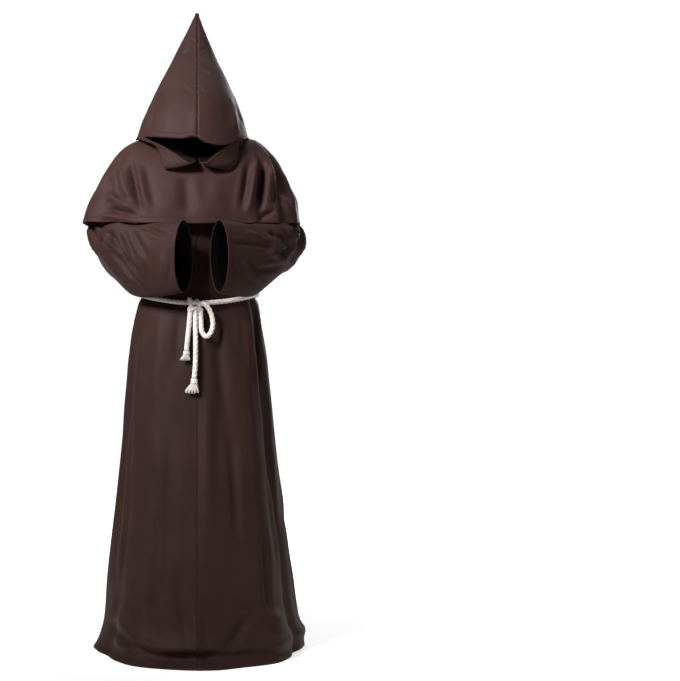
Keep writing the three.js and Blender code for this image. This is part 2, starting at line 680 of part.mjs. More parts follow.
/** The belt, the knot and the free rope ends. */
function buildRope() {
  const knotRoom = knotSolid(SEAM);
  const waist = spread([[4, 356, 56]]).map((value) => {
    const angle = value * DEGREE;
    const cosine = Math.cos(angle);
    const point = robeSurface(angle, WAIST_ROW);
    const out = new THREE.Vector3(point.x, point.y, 0).normalize();
    const forward = BELT_FORWARD * ease((cosine - BELT_FORWARD_FROM) / (1 - BELT_FORWARD_FROM));
    point.addScaledVector(out, ROPE_RADIUS + BELT_CLEARANCE + forward);
    return point.toArray();
  });
  const cut = (route, steps) => {
    const pieces = toSolid(ropeGeometry(route, steps)).subtract(knotRoom).decompose();
    const largest = pieces.reduce((best, piece) => (piece.volume() > best.volume() ? piece : best));
    return toGeometry(largest);
  };
  return [
    makeMesh('rope_belt', cut(waist, 46), whiteRope),
    makeMesh('rope_knot', toGeometry(knotSolid(0)), whiteRope),
    makeMesh('rope_loop', cut(LOOP_ROUTE, 16), whiteRope),
    makeMesh('rope_tail_short', cut(TAIL_SHORT_ROUTE, 7), whiteRope),
    makeMesh('rope_tail_long', cut(TAIL_LONG_ROUTE, 10), whiteRope),
    ...Object.entries(TUFTS).map(([name, tuft]) => makeMesh(name, tuftGeometry(tuft), whiteRope)),
  ];
}

/** Named mesh. */
function makeMesh(name, geometry, material) {
  const mesh = new THREE.Mesh(geometry, material);
  mesh.name = name;
  return mesh;
}

const core = robeCore();
const habit = new THREE.Group();
habit.add(
  ...buildRobe([armholeSolid(SLEEVE_LEFT_SECTIONS), armholeSolid(SLEEVE_RIGHT_SECTIONS)]),
  buildSleeve('sleeve_left', SLEEVE_LEFT_SECTIONS, core),
  buildSleeve('sleeve_right', SLEEVE_RIGHT_SECTIONS, core),
  buildCape(),
  buildHoodHalf('hood_left', -1),
  buildHoodHalf('hood_right', 1),
  ...buildRope(),
);

export default habit;
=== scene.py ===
"""Looks of a hooded brown habit with a white rope belt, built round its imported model.

Lengths in the tables are millimetres in the part's own frame, and every mesh is made in metres.
"""

from __future__ import annotations
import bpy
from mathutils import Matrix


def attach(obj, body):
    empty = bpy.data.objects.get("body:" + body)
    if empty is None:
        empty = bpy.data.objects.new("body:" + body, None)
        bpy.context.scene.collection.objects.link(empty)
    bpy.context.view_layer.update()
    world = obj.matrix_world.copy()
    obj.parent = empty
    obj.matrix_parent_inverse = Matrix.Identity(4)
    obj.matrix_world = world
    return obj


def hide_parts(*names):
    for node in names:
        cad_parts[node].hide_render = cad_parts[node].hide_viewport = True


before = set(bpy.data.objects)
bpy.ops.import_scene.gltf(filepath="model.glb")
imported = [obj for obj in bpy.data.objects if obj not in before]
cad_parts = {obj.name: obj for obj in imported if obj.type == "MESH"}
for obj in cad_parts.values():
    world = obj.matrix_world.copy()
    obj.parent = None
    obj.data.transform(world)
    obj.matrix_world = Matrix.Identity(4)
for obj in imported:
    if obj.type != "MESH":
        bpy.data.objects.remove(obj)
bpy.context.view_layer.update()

import logging
import math
import random
from dataclasses import dataclass, field
from enum import Enum
from typing import Callable, Sequence

import bpy
import numpy as np
from mathutils import Vector

LOG = logging.getLogger("habit")
MM = 0.001
FLOOR = -1432.0
BODY = "root"

Array = np.ndarray
Point = Sequence[float]
Surface = Callable[[Array, Array], Array]

# Sections round the body, one row per level:
# left, right, front, back, z at left, right, front and back, and the shift of the centre to the back.
ROBE_SECTIONS = np.array([
    [90, 90, 90, 82, 39, 39, -38, 9, 0],
    [130, 125, 102, 92, 26, 26, -64, -12, 0],
    [168, 160, 112, 104, 6, 8, -90, -40, 0],
    [188, 180, 118, 110, -24, -22, -114, -70, 0],
    [188, 181, 120, 112, -90, -88, -150, -120, 0],
    [168, 165, 121, 112, -180, -180, -205, -190, 0],
    [154, 155, 118, 110, -290, -290, -300, -290, 0],
    [163, 169, 122, 115, -378, -378, -398, -386, 0],
    [159, 164, 114, 106, -420, -420, -446, -426, 0],
    [173, 178, 124, 115, -452, -452, -484, -462, 0],
    [191, 190, 149, 136, -552, -552, -572, -560, 0],
    [208, 210, 178, 164, -739, -739, -742, -739, 0],
    [219, 226, 208, 192, -900, -900, -900, -900, 0],
    [235, 248, 238, 220, -1070, -1070, -1070, -1070, 0],
    [253, 268, 268, 248, -1230, -1230, -1230, -1230, 0],
    [262, 284, 292, 270, -1340, -1340, -1336, -1340, 0],
    [274, 298, 318, 284, -1390, -1382, -1385, -1390, 0],
    [284, 301, 322, 292, -1414, -1412, -1412, -1414, 0],
    [294, 303, 354, 306, -1432, -1432, -1432, -1432, 0],
], dtype=float)

CAPE_SECTIONS = np.array([
    [92, 92, 92, 84, 42, 42, -35, 12, 0],
    [135, 130, 110, 100, 35, 36, -56, -4, 0],
    [180, 170, 126, 116, 24, 27, -82, -30, 0],
    [216, 199, 138, 128, 4, 5, -106, -58, 0],
    [246, 226, 147, 138, -30, -30, -130, -95, 0],
    [270, 248, 154, 147, -72, -72, -152, -138, 0],
    [292, 266, 160, 155, -115, -112, -173, -182, 0],
    [314, 285, 165, 163, -156, -152, -192, -228, 0],
    [333, 298, 169, 172, -212, -216, -225, -298, 0],
], dtype=float)

HOOD_SECTIONS = np.array([
    [92, 92, 92, 84, 43.6, 43.6, -33.4, 13.6, 0],
    [150, 136, 149, 94, 41, 41, -52, 26, 0],
    [166, 143, 155, 100, 36, 37, -44, 46, 0],
    [177, 147, 158, 106, 30, 35, -24, 70, 0],
    [180, 149, 164, 110, 30, 35, -9, 88, 0],
    [177, 147, 171, 114, 33, 36, 10, 102, 0],
    [163, 136, 162, 119, 74, 72, 62, 132, 2],
    [146, 124, 149, 118, 110, 108, 106, 160, 5],
    [130, 109, 131, 110, 146, 146, 144, 188, 8],
    [112, 93, 109, 97, 187, 187, 184, 218, 12],
    [92, 75, 84, 76, 226, 226, 224, 248, 16],
    [70, 54, 58, 52, 268, 268, 268, 280, 19],
    [47, 34, 36, 32, 315, 315, 315, 320, 21],
    [24, 17, 17, 14, 362, 362, 362, 364, 22],
    [3.5, 3.5, 3, 3, 402, 402, 402, 402, 22],
], dtype=float)
HOOD_BRIM_ROW = 5
HOOD_EDGE_ANGLES = np.array([2, 2, 15, 31, 47, 58], dtype=float)
# The brim's droop on one side and its notch at the seam: depth, angle and width in degrees.
# Both fade over the rows named last.
BRIM_DROOP = (22.0, 30.0, 27.0)
BRIM_NOTCH = (11.0, -3.0, 7.0)
BRIM_ROWS = 1.2
# Rolled edges under the brim, left and right: drop, angles of the lowest point and of the end,
# degrees over which it ends, how far it stands out, and the angle and width of that.
LAPELS = {-1: (48, 35, 46, 9, 5, 38, 16), 1: (52, 36, 58, 13, 14, 46, 16)}
LAPEL_START = 2.0
LAPEL_ROWS = 0.75

# Long folds that run down a piece, one row each:
# angle at the top and at the hem, width in degrees, height, and the rows of start, full depth and end.
ROBE_FOLDS = np.array([
    [-30, -36, 11, 7, 8.5, 12, 17],
    [-66, -62, 7, -9, 8.5, 12, 17],
    [-88, -84, 8, 7, 9, 13, 18],
    [-6, -10, 14, -5, 8.5, 12, 17],
    [18, 24, 10, -9, 8.5, 12, 17],
    [42, 46, 9, 8, 8.5, 11, 17],
    [66, 68, 6, -14, 7.5, 9.5, 17],
    [92, 90, 8, 8, 9, 13, 18],
    [118, 116, 8, -9, 8.5, 12, 18],
    [137, 135, 8, 9, 8.5, 12, 18],
    [158, 156, 7, -12, 8.5, 11, 18],
    [176, 175, 9, 8, 9, 13, 18],
    [202, 205, 6, -16, 7.5, 9.5, 18],
    [219, 222, 8, 10, 8.5, 12, 18],
    [243, 245, 8, -8, 8.5, 12, 18],
], dtype=float)

CAPE_FOLDS = np.array([
    [-80, -47, 7, -16, 1.5, 4.5, 8],
    [-62, -66, 8, 9, 2, 6, 8],
    [-20, -24, 12, 5, 2.5, 6, 8],
    [-4, -6, 7, -4, 2.5, 6, 8],
    [66, 40, 5, -13, 1.5, 4, 8],
    [74, 48, 4.5, 8, 1.5, 4, 8],
    [82, 56, 5, -8, 1.5, 4.5, 8],
    [94, 68, 7, 9, 2, 6, 8],
    [20, 22, 8, -5, 3, 6, 8],
    [124, 128, 8, -10, 3, 6, 8],
    [140, 152, 5.5, 14, 1.5, 6, 8],
    [160, 166, 4.5, -17, 2, 6, 8],
    [174, 176, 3.5, 13, 1.5, 6, 8],
    [180, 180.5, 2.8, -8, 2, 6, 8],
    [186, 185.5, 3, 11, 2, 6, 8],
    [192, 191, 3, -11, 2, 6, 8],
    [200, 198, 3.6, 13, 2, 6, 8],
    [207, 204.5, 3, -12, 2, 6, 8],
    [213, 211, 4, 13, 2, 6, 8],
    [222, 220, 5, -18, 1.5, 5, 8],
    [236, 236, 7, 10, 2, 6, 8],
], dtype=float)

# Bulges where the robe breaks on the floor: angle, width in degrees, height, row, width in rows.
ROBE_BREAKS = np.array([
    [-42, 16, 13, 15.9, 0.7],
    [50, 17, 12, 15.8, 0.8],
    [4, 26, -11, 16.7, 0.5],
    [84, 14, 8, 16.1, 0.6],
    [150, 20, 10, 16.2, 0.7],
    [212, 22, 9, 15.9, 0.7],
], dtype=float)

# Sections along a sleeve, one row each: centre x, y, z, then the tall and the wide half axis.
SLEEVE_LEFT_SECTIONS = np.array([
    [-128, 0, -112, 0, 64, 0, 4, 0, -74],
    [-172, 0, -112, 0, 66, 0, 22, 0, -80],
    [-206, 2, -130, 0, 70, -6, 46, 0, -70],
    [-233, 2, -170, 0, 74, -12, 52, 0, -44],
    [-251, 0, -212, 0, 78, -22, 50, -4, -14],
    [-257, -8, -252, -8, 76, -44, 46, -8, -4],
    [-244, -34, -281, -11, 62, -63, 42, 8, 0],
    [-219, -66, -301, -5, 41, -84, 35, 20, 0],
    [-182, -100, -322, -2, 20, -99, 29, 28, 0],
    [-132, -139, -328, 0, 8, -104, 27, 30, 0],
    [-84, -174, -325, 0, 3, -102, 26, 31, 0],
    [-38, -208, -319, 0, 0, -100, 26, 32, 0],
], dtype=float)

SLEEVE_RIGHT_SECTIONS = np.array([
    [124, 0, -112, 0, 64, 0, -4, 0, -74],
    [164, 0, -114, 0, 66, 0, -20, 0, -80],
    [190, 2, -134, 0, 70, -6, -40, 0, -70],
    [215, 3, -172, 0, 70, -12, -45, 0, -46],
    [237, 9, -217, 0, 66, -22, -42, -4, -16],
    [255, -6, -257, 8, 68, -40, -45, -8, -4],
    [252, -34, -278, 9, 58, -60, -42, 8, 0],
    [226, -66, -293, 2, 37, -74, -35, 20, 0],
    [191, -98, -314, -4, 18, -90, -29, 28, 0],
    [150, -134, -327, 1, 8, -101, -27, 30, 0],
    [104, -171, -325, 0, 3, -103, -26, 31, 0],
    [60, -206, -319, 0, 0, -100, -26, 32, 0],
], dtype=float)

# Cloth past a seam: its angles beyond the seam, how deep it lies under the neighbour,
# and the distances before the seam and along the cloth over which it goes down.
TUCK_ANGLES = np.array([0.35, 1.2, 2.6])
TUCK_DEPTH = 2.1
TUCK_START = 0.3
TUCK_RUN = 1.3

# Columns beside a seam, in degrees from it, and where the even columns begin.
SEAM_COLUMNS = np.array([0.0, 0.35, 0.8, 1.4, 2.2])
SEAM_CLEAR = 3.2

# Shape of a seam: width of its groove, then share, place and width of the ridge beside it,
# and how far from the seam the thread's puckers reach.
GROOVE_WIDTH = 2.4
RIDGE = (0.35, 6.5, 3.5)
PUCKER_REACH = 13.0

# Shape of a crease: legs of its line, shares of its length over which it starts and ends,
# and share and place of the opposite wave beside it, the place in half widths.
CREASE_LEGS = 14
CREASE_START = 0.3
CREASE_END = 0.4
CREASE_BESIDE = (0.28, 1.9)

# Samples of a surface from which the even rows are read.
LEVEL_SAMPLES = 400

# Routes of the rope's free parts, knot first, the same as in the part's source.
LOOP_ROUTE = [
    (2, -144, -447), (20, -150, -450), (37, -148, -474), (43, -150, -508), (35, -156, -533),
    (24, -158, -541), (13, -155, -528), (10, -148, -496), (9, -143, -462),
]
TAIL_SHORT_ROUTE = [(-20, -142, -458), (-22, -147, -490), (-26, -156, -531), (-31, -164, -580)]
TAIL_LONG_ROUTE = [(-5, -143, -462), (-6, -147, -500), (-5, -160, -560), (-6, -171, -620), (-9, -178, -656)]

# The rope round the waist: its row, its angles, and the cosine from which it comes forward.
WAIST_ROW = 8.0
WAIST_ANGLES = np.linspace(4, 356, 57)
WAIST_NEAR_KNOT = 0.9

# The knot, from its centre. Wraps: half turns at their start and end, then height, tilt,
# half width and depth of each. Strands over them: route, and how much thinner than the rope.
KNOT_CENTRE = (-8.0, -141.0, -453.0)
KNOT_TURN = (0.5, 2.46)
KNOT_WRAPS = ((7.0, -0.16, 16.5, 8.6), (-6.5, 0.34, 15.5, 8.2))
KNOT_STRANDS = (
    ([(-15, -3, 19), (-13, -9, 10), (-11, -10.5, 0), (-12, -8, -10), (-12, -3, -19)], 0.8),
    ([(14, -4, -17), (13, -7.5, -8), (9, -8.5, 2), (6, -4, 15)], 1.0),
)
KNOT_HEART = [(0, 1, 14), (0, 0, 0), (0, 1, -14)]


def ease(value: Array) -> Array:
    """Smooth step.

    Args:
        value: Numbers of any size.

    Returns:
        Numbers from 0 to 1, level at both ends.
    """
    t = np.clip(value, 0.0, 1.0)
    return t * t * (3 - 2 * t)


def read_between(table: Array, levels: Array) -> Array:
    """Read a table between its rows with a smooth curve through each column.

    Args:
        table: One row per level.
        levels: Row numbers, whole or not.

    Returns:
        One row per level asked for.
    """
    last = len(table) - 1
    base = np.clip(np.floor(levels).astype(int), 0, last - 1)
    t = (levels - base)[:, None]
    a, b, c, d = (table[np.clip(base + step, 0, last)] for step in (-1, 0, 1, 2))
    return b + 0.5 * t * (c - a + t * (2 * a - 5 * b + 4 * c - d + t * (3 * (b - c) + d - a)))


def angle_between(first: Array, second: Array) -> Array:
    """Signed difference of two angles in degrees, from -180 to 180."""
    return np.mod(first - second + 180.0, 360.0) - 180.0


def section_points(sections: Array, degrees: Array, outwards: Array) -> Array:
    """Points on sections round the body.

    Args:
        sections: One table row per level.
        degrees: Angles from the front, one row per level.
        outwards: How far each point is moved out from the section.

    Returns:
        Grid of points in millimetres.
    """
    left, right, front, back, z_left, z_right, z_front, z_back, shift = (
        column[:, None] for column in sections.T
    )
    sine = np.sin(np.radians(degrees))
    cosine = np.cos(np.radians(degrees))
    x = sine * np.where(sine > 0, right, left)
    y = -cosine * np.where(cosine > 0, front, back)
    z_side = np.where(sine > 0, z_right, z_left)
    z_end = np.where(cosine > 0, z_front, z_back)
    z = z_side + (z_end - z_side) * cosine * cosine
    grown = 1 + outwards / np.hypot(x, y)
    return np.stack([x * grown, y * grown + shift, z], axis=-1)


def fold_height(folds: Array, degrees: Array, levels: Array) -> Array:
    """Sum of the long folds of a piece.

    Args:
        folds: Table of folds.
        degrees: Grid of angles.
        levels: Level of each grid row.

    Returns:
        Grid of heights over the section.
    """
    rows = levels[:, None]
    height = np.zeros(degrees.shape)
    for top, hem, width, depth, start, full, end in folds:
        centre = top + (hem - top) * ease((rows - start) / (end - start))
        strength = ease((rows - start) / (full - start))
        height += depth * strength * np.exp(-(angle_between(degrees, centre) / width) ** 2)
    return height


def bell(value: Array, middle: float, width: float) -> Array:
    """Height of a smooth bell, 1 at its middle."""
    return np.exp(-(((value - middle) / width) ** 2))


def robe_surface(levels: Array, degrees: Array) -> Array:
    """The robe's outside, with its long folds and the bulges near the floor.

    Args:
        levels: Level of each grid row.
        degrees: Grid of angles.

    Returns:
        Grid of points in millimetres.
    """
    height = fold_height(ROBE_FOLDS, degrees, levels)
    for angle, width, depth, row, row_width in ROBE_BREAKS:
        across = angle_between(degrees, angle) / width
        up = (levels[:, None] - row) / row_width
        height += depth * np.exp(-across ** 2 - up ** 2)
    return section_points(read_between(ROBE_SECTIONS, levels), degrees, height)


def cape_surface(levels: Array, degrees: Array) -> Array:
    """The cape's outside, with its long folds.

    Args:
        levels: Level of each grid row.
        degrees: Grid of angles.

    Returns:
        Grid of points in millimetres.
    """
    height = fold_height(CAPE_FOLDS, degrees, levels)
    return section_points(read_between(CAPE_SECTIONS, levels), degrees, height)


def hood_surface(levels: Array, degrees: Array) -> Array:
    """The hood's outside, whose brim droops on one side and has a notch at its seam.

    Args:
        levels: Level of each grid row.
        degrees: Grid of angles.

    Returns:
        Grid of points in millimetres.
    """
    rows = levels[:, None]
    angle = angle_between(degrees, 0.0)
    away = np.abs(angle)
    drop, lowest, end, fade, bulge, bulge_angle, bulge_width = (
        np.where(angle < 0, left, right) for left, right in zip(LAPELS[-1], LAPELS[1])
    )
    strength = ease(rows) * np.exp(-((np.maximum(rows - 1, 0) / LAPEL_ROWS) ** 2))
    ramp = np.clip((away - LAPEL_START) / (lowest - LAPEL_START), 0, 1)
    standing = bulge * strength * bell(away, bulge_angle, bulge_width)
    points = section_points(read_between(HOOD_SECTIONS, levels), degrees, standing)
    near_brim = bell(rows, HOOD_BRIM_ROW, BRIM_ROWS)
    droop = BRIM_DROOP[0] * bell(angle, *BRIM_DROOP[1:])
    notch = BRIM_NOTCH[0] * bell(angle, *BRIM_NOTCH[1:])
    points[..., 2] += np.where(rows >= HOOD_BRIM_ROW, near_brim * (notch - droop), 0.0)
    points[..., 2] -= drop * strength * ramp * ease((end - away) / fade)
    return points


def sleeve_points(table: Array, levels: Array, degrees: Array) -> Array:
    """Points round a sleeve.

    Args:
        table: The sleeve's sections.
        levels: Level of each ring.
        degrees: Grid of angles round the ring, one row per level.

    Returns:
        Grid of points in millimetres.
    """
    rows = read_between(table, levels)
    centre, tall, wide = rows[:, None, 0:3], rows[:, None, 3:6], rows[:, None, 6:9]
    turn = np.radians(degrees)[..., None]
    side = np.where(centre[..., 0:1] < 0, 1.0, -1.0)
    return centre + tall * np.cos(turn) - wide * np.sin(turn * side)


def grid_normals(points: Array, wraps: bool) -> Array:
    """Unit normals of a grid of points, pointing along (down the rows) x (across the columns).

    Args:
        points: Rows, columns, 3.
        wraps: Whether the last column meets the first.

    Returns:
        Rows, columns, 3.
    """
    along = np.gradient(points, axis=0)
    if wraps:
        across = np.roll(points, -1, axis=1) - np.roll(points, 1, axis=1)
    else:
        across = np.gradient(points, axis=1)
    normal = np.cross(across, along)
    return normal / np.maximum(np.linalg.norm(normal, axis=-1, keepdims=True), 1e-9)


def run_lengths(points: Array) -> Array:
    """Distance of each point from the first one, along a line or along each row of a grid.

    Args:
        points: Line or grid of points, whose last axis is x, y, z.

    Returns:
        Distances.
    """
    legs = np.linalg.norm(np.diff(points, axis=-2), axis=-1)
    start = np.zeros(legs.shape[:-1] + (1,))
    return np.concatenate([start, np.cumsum(legs, axis=-1)], axis=-1)


def even_levels(surface: Surface, first: float, last: float, step: float, angle: float) -> Array:
    """Levels whose rows lie about one step apart on the surface.

    Args:
        surface: The piece's outside.
        first: Level of the first row.
        last: Level of the last row.
        step: Wanted distance in millimetres.
        angle: Where round the piece the distance is measured.

    Returns:
        Levels from first to last.
    """
    levels = np.linspace(first, last, LEVEL_SAMPLES)
    length = run_lengths(surface(levels, np.full((LEVEL_SAMPLES, 1), angle))[:, 0])
    count = max(int(round(length[-1] / step)), 2)
    return np.interp(np.linspace(0, length[-1], count + 1), length, levels)


def seam_angles(first: float, last: float, step: float) -> Array:
    """Angles from first to last, closer together beside the seams at both ends.

    Args:
        first: Angle of the first seam in degrees.
        last: Angle of the last seam, the larger one.
        step: Degrees between the even columns.

    Returns:
        Angles in degrees.
    """
    inner = np.linspace(first + SEAM_CLEAR, last - SEAM_CLEAR, max(int((last - first) / step), 4))
    return np.concatenate([first + SEAM_COLUMNS, inner, (last - SEAM_COLUMNS)[::-1]])


class View(Enum):
    """The side from which a crease is drawn."""

    FRONT = (0, -1.0)
    BACK = (0, 1.0)
    LEFT = (1, -1.0)
    RIGHT = (1, 1.0)


@dataclass(frozen=True)
class Crease:
    """One soft trough or ridge of the cloth, drawn on a side view of the piece.

    Attributes:
        view: The side from which it is drawn.
        start: Sideways place and height of its start, in millimetres.
        end: Sideways place and height of its end.
        bend: How far its middle is bent to its left.
        width: Half width.
        depth: Height over the cloth, negative for a trough.
    """

    view: View
    start: tuple[float, float]
    end: tuple[float, float]
    bend: float
    width: float
    depth: float

    def height(self, points: Array, normals: Array) -> Array:
        """Height that this crease adds at each point.

        Args:
            points: Grid of points in millimetres.
            normals: Grid of unit normals that point outwards.

        Returns:
            Grid of heights.
        """
        axis, sign = self.view.value
        facing = ease((normals[..., 1 - axis] * sign + 0.1) / 0.5)
        place = np.stack([points[..., axis], points[..., 2]], axis=-1)
        start, end = np.array(self.start), np.array(self.end)
        run = end - start
        middle = (start + end) / 2 + np.array([-run[1], run[0]]) / np.linalg.norm(run) * self.bend
        share = np.linspace(0, 1, CREASE_LEGS + 1)[:, None]
        line = (1 - share) ** 2 * start + 2 * share * (1 - share) * middle + share ** 2 * end
        best = np.full(place.shape[:2], 1e9)
        where = np.zeros(place.shape[:2])
        for index in range(len(line) - 1):
            leg = line[index + 1] - line[index]
            part = np.clip(((place - line[index]) @ leg) / (leg @ leg), 0, 1)
            away = np.linalg.norm(place - line[index] - part[..., None] * leg, axis=-1)
            closer = away < best
            best = np.where(closer, away, best)
            where = np.where(closer, (index + part) / (len(line) - 1), where)
        taper = ease(where / CREASE_START) * ease((1 - where) / CREASE_END)
        opposite, apart = CREASE_BESIDE
        beside = bell(best, apart * self.width, self.width)
        return self.depth * facing * taper * (bell(best, 0.0, self.width) - opposite * beside)


def creases(view: View, rows: Sequence[Sequence[float]]) -> list[Crease]:
    """Creases of one view.

    Args:
        view: The side from which they are drawn.
        rows: Start x, start z, end x, end z, bend, width and depth of each one.

    Returns:
        The creases.
    """
    return [Crease(view, (r[0], r[1]), (r[2], r[3]), r[4], r[5], r[6]) for r in rows]


# Creases of each piece, one row each:
# sideways place and height of the start and of the end, bend, half width and height.
CAPE_CREASES = (
    creases(View.FRONT, [
        (-192, -24, -152, -206, -8, 8, -6), (-166, -50, -132, -200, -6, 11, 7),
        (-222, -46, -180, -190, -6, 12, 9), (-268, -136, -172, -192, 6, 10, 8),
        (-262, -176, -156, -208, 5, 7, -5), (-286, -196, -176, -216, 3, 8, 5),
        (-36, -78, -30, -214, 5, 17, -4.5), (-92, -120, -84, -214, -4, 26, 1.6),
        (58, -88, 44, -190, 6, 22, 1.5), (104, -140, 92, -216, -3, 15, -1.4),
        (166, -22, 138, -212, 4, 7, 6), (146, -33, 118, -208, 4, 9, -6), (188, -22, 166, -212, 5, 8, -7),
        (210, -40, 192, -200, 3, 10, 9), (167, -210, 229, -177, -4, 7, -5),
        (240, -129, 266, -196, 0, 10, 4), (221, -117, 224, -174, 0, 7, -3),
    ])
    + creases(View.BACK, [
        (31, -15, 122, -285, 8, 15, 13), (42, -70, 74, -300, 2, 19, -9), (-8, -16, 12, -292, 2, 12, 10),
        (-24, -80, -12, -290, 0, 7, -6), (-56, -40, -31, -295, 2, 11, 8), (-74, -72, -58, -292, 0, 6, -5),
        (-93, -44, -88, -297, 0, 12, 7), (-114, -89, -114, -297, 0, 7, -5),
        (-140, -36, -145, -297, -3, 14, 10), (-177, -50, -176, -285, 0, 13, -10),
        (200, -40, 152, -290, 10, 12, 10), (183, -110, 172, -280, 0, 8, -6),
        (-212, -60, -235, -240, 0, 15, 8), (239, -140, 225, -250, 0, 12, 6),
        (104, -33, 146, -180, 4, 10, -6),
    ])
    + creases(View.LEFT, [
        (-60, -40, -40, -190, 4, 12, 5), (20, -30, 30, -230, -4, 14, -6), (80, -60, 70, -260, 4, 12, 5),
    ])
    + creases(View.RIGHT, [
        (-50, -40, -70, -180, 4, 12, -5), (10, -30, 20, -220, -4, 13, 5), (70, -60, 80, -250, 4, 11, -5),
    ])
)

# Creases that the sleeves' outer sides share.
SLEEVE_OUTER_ROWS = [
    (-10, -190, -60, -300, 8, 11, -7), (15, -200, -20, -320, 8, 12, 6), (-40, -200, -95, -290, 5, 8, 4),
    (40, -180, 20, -310, 6, 12, -5), (-70, -250, -120, -330, 5, 9, -5), (-110, -240, -150, -330, 3, 9, 3),
]

SLEEVE_LEFT_CREASES = (
    creases(View.FRONT, [
        (-285, -238, -263, -289, 3, 5, -6), (-249, -236, -198, -331, -5, 7, -8),
        (-263, -247, -240, -314, 2, 7, 5), (-224, -236, -170, -354, -4, 7, 5),
        (-238, -297, -162, -396, -6, 7, -6), (-207, -320, -145, -404, -4, 6, 4),
        (-187, -236, -134, -331, -3, 8, -4), (-162, -230, -77, -269, 3, 7, -3),
        (-153, -331, -128, -410, -3, 6, -3), (-105, -303, -94, -399, 3, 10, 3),
        (-72, -292, -77, -399, 0, 5, -2), (-274, -303, -212, -382, -5, 6, 3),
    ])
    + creases(View.LEFT, SLEEVE_OUTER_ROWS)
    + creases(View.BACK, [
        (-267, -297, -217, -410, 5, 9, -6), (-239, -269, -177, -393, 5, 9, 5),
        (-278, -247, -256, -331, 3, 7, 4), (-200, -331, -143, -416, 3, 8, -4),
    ])
)

SLEEVE_RIGHT_CREASES = (
    creases(View.FRONT, [
        (224, -247, 277, -297, -4, 6, -7), (249, -224, 288, -269, -3, 6, 5),
        (193, -258, 266, -295, 4, 7, 5), (86, -281, 243, -292, 2, 6, -3), (181, -303, 277, -331, 4, 8, 4),
        (266, -314, 283, -337, 0, 4, 3), (198, -236, 255, -286, -3, 6, -5), (120, -331, 181, -399, 4, 9, 3),
        (97, -314, 103, -393, 0, 5, -2), (159, -354, 249, -342, -3, 8, -3), (131, -247, 181, -269, 2, 7, 3),
    ])
    + creases(View.RIGHT, SLEEVE_OUTER_ROWS)
    + creases(View.BACK, [
        (262, -303, 217, -404, -5, 9, -6), (239, -275, 183, -393, -5, 9, 5),
        (278, -258, 256, -331, -3, 7, 4), (183, -331, 138, -416, -3, 8, -4),
    ])
)

# Creases that the robe's two sides share.
ROBE_SIDE_ROWS = [
    (-40, -500, -60, -900, 6, 16, -6), (20, -480, 40, -1000, -6, 18, 5), (70, -520, 110, -1100, 0, 16, -5),
    (-80, -900, -120, -1300, 0, 15, 5), (0, -1000, 20, -1380, 0, 16, -5),
    (120, -1150, 160, -1390, 0, 14, 4),
]

ROBE_CREASES = (
    creases(View.FRONT, [
        (159, -432, 187, -719, 3, 7, -7), (139, -438, 153, -663, 2, 10, 4),
        (46, -449, 89, -832, -5, 16, -5), (-100, -449, -134, -804, 6, 18, 4),
        (-49, -455, -60, -663, 0, 14, -3), (91, -776, 114, -1169, 3, 13, -5),
        (27, -663, 30, -1113, 0, 16, 4), (-77, -776, -83, -1282, 0, 18, -3),
        (-128, -944, -134, -1338, 0, 12, 3), (-207, -719, -224, -1169, 4, 10, -4),
        (204, -776, 238, -1169, -3, 10, 4), (181, -1057, 198, -1338, 0, 9, -5),
        (-240, -1362, -150, -1268, 10, 22, 6), (-128, -1240, -116, -1385, -4, 15, -5),
        (-236, -1358, -90, -1410, -8, 11, -8), (-120, -1407, 75, -1392, -8, 11, -8),
        (60, -1404, 150, -1290, -10, 15, -6), (150, -1296, 258, -1350, 8, 21, 6),
        (-4, -1282, 1, -1428, 0, 14, 4), (-55, -1169, -32, -1380, 0, 14, -3),
    ])
    + creases(View.BACK, [
        (59, -444, 80, -540, 0, 7, -7), (80, -520, 92, -980, 2, 11, -9),
        (-101, -444, -93, -719, 0, 12, -10), (-90, -640, -82, -1240, 0, 14, -9),
        (138, -460, 135, -880, 0, 11, -6), (-8, -500, -8, -1250, 0, 22, 6), (37, -776, 31, -1282, 0, 14, 3),
        (-155, -522, -160, -1057, 0, 12, 4), (149, -1057, 183, -1366, 4, 12, -5),
        (-31, -1169, -48, -1394, 0, 12, -4), (93, -1226, 110, -1394, 3, 11, 4),
        (-132, -1169, -155, -1394, -3, 11, 5),
    ])
    + creases(View.LEFT, ROBE_SIDE_ROWS)
    + creases(View.RIGHT, ROBE_SIDE_ROWS)
)

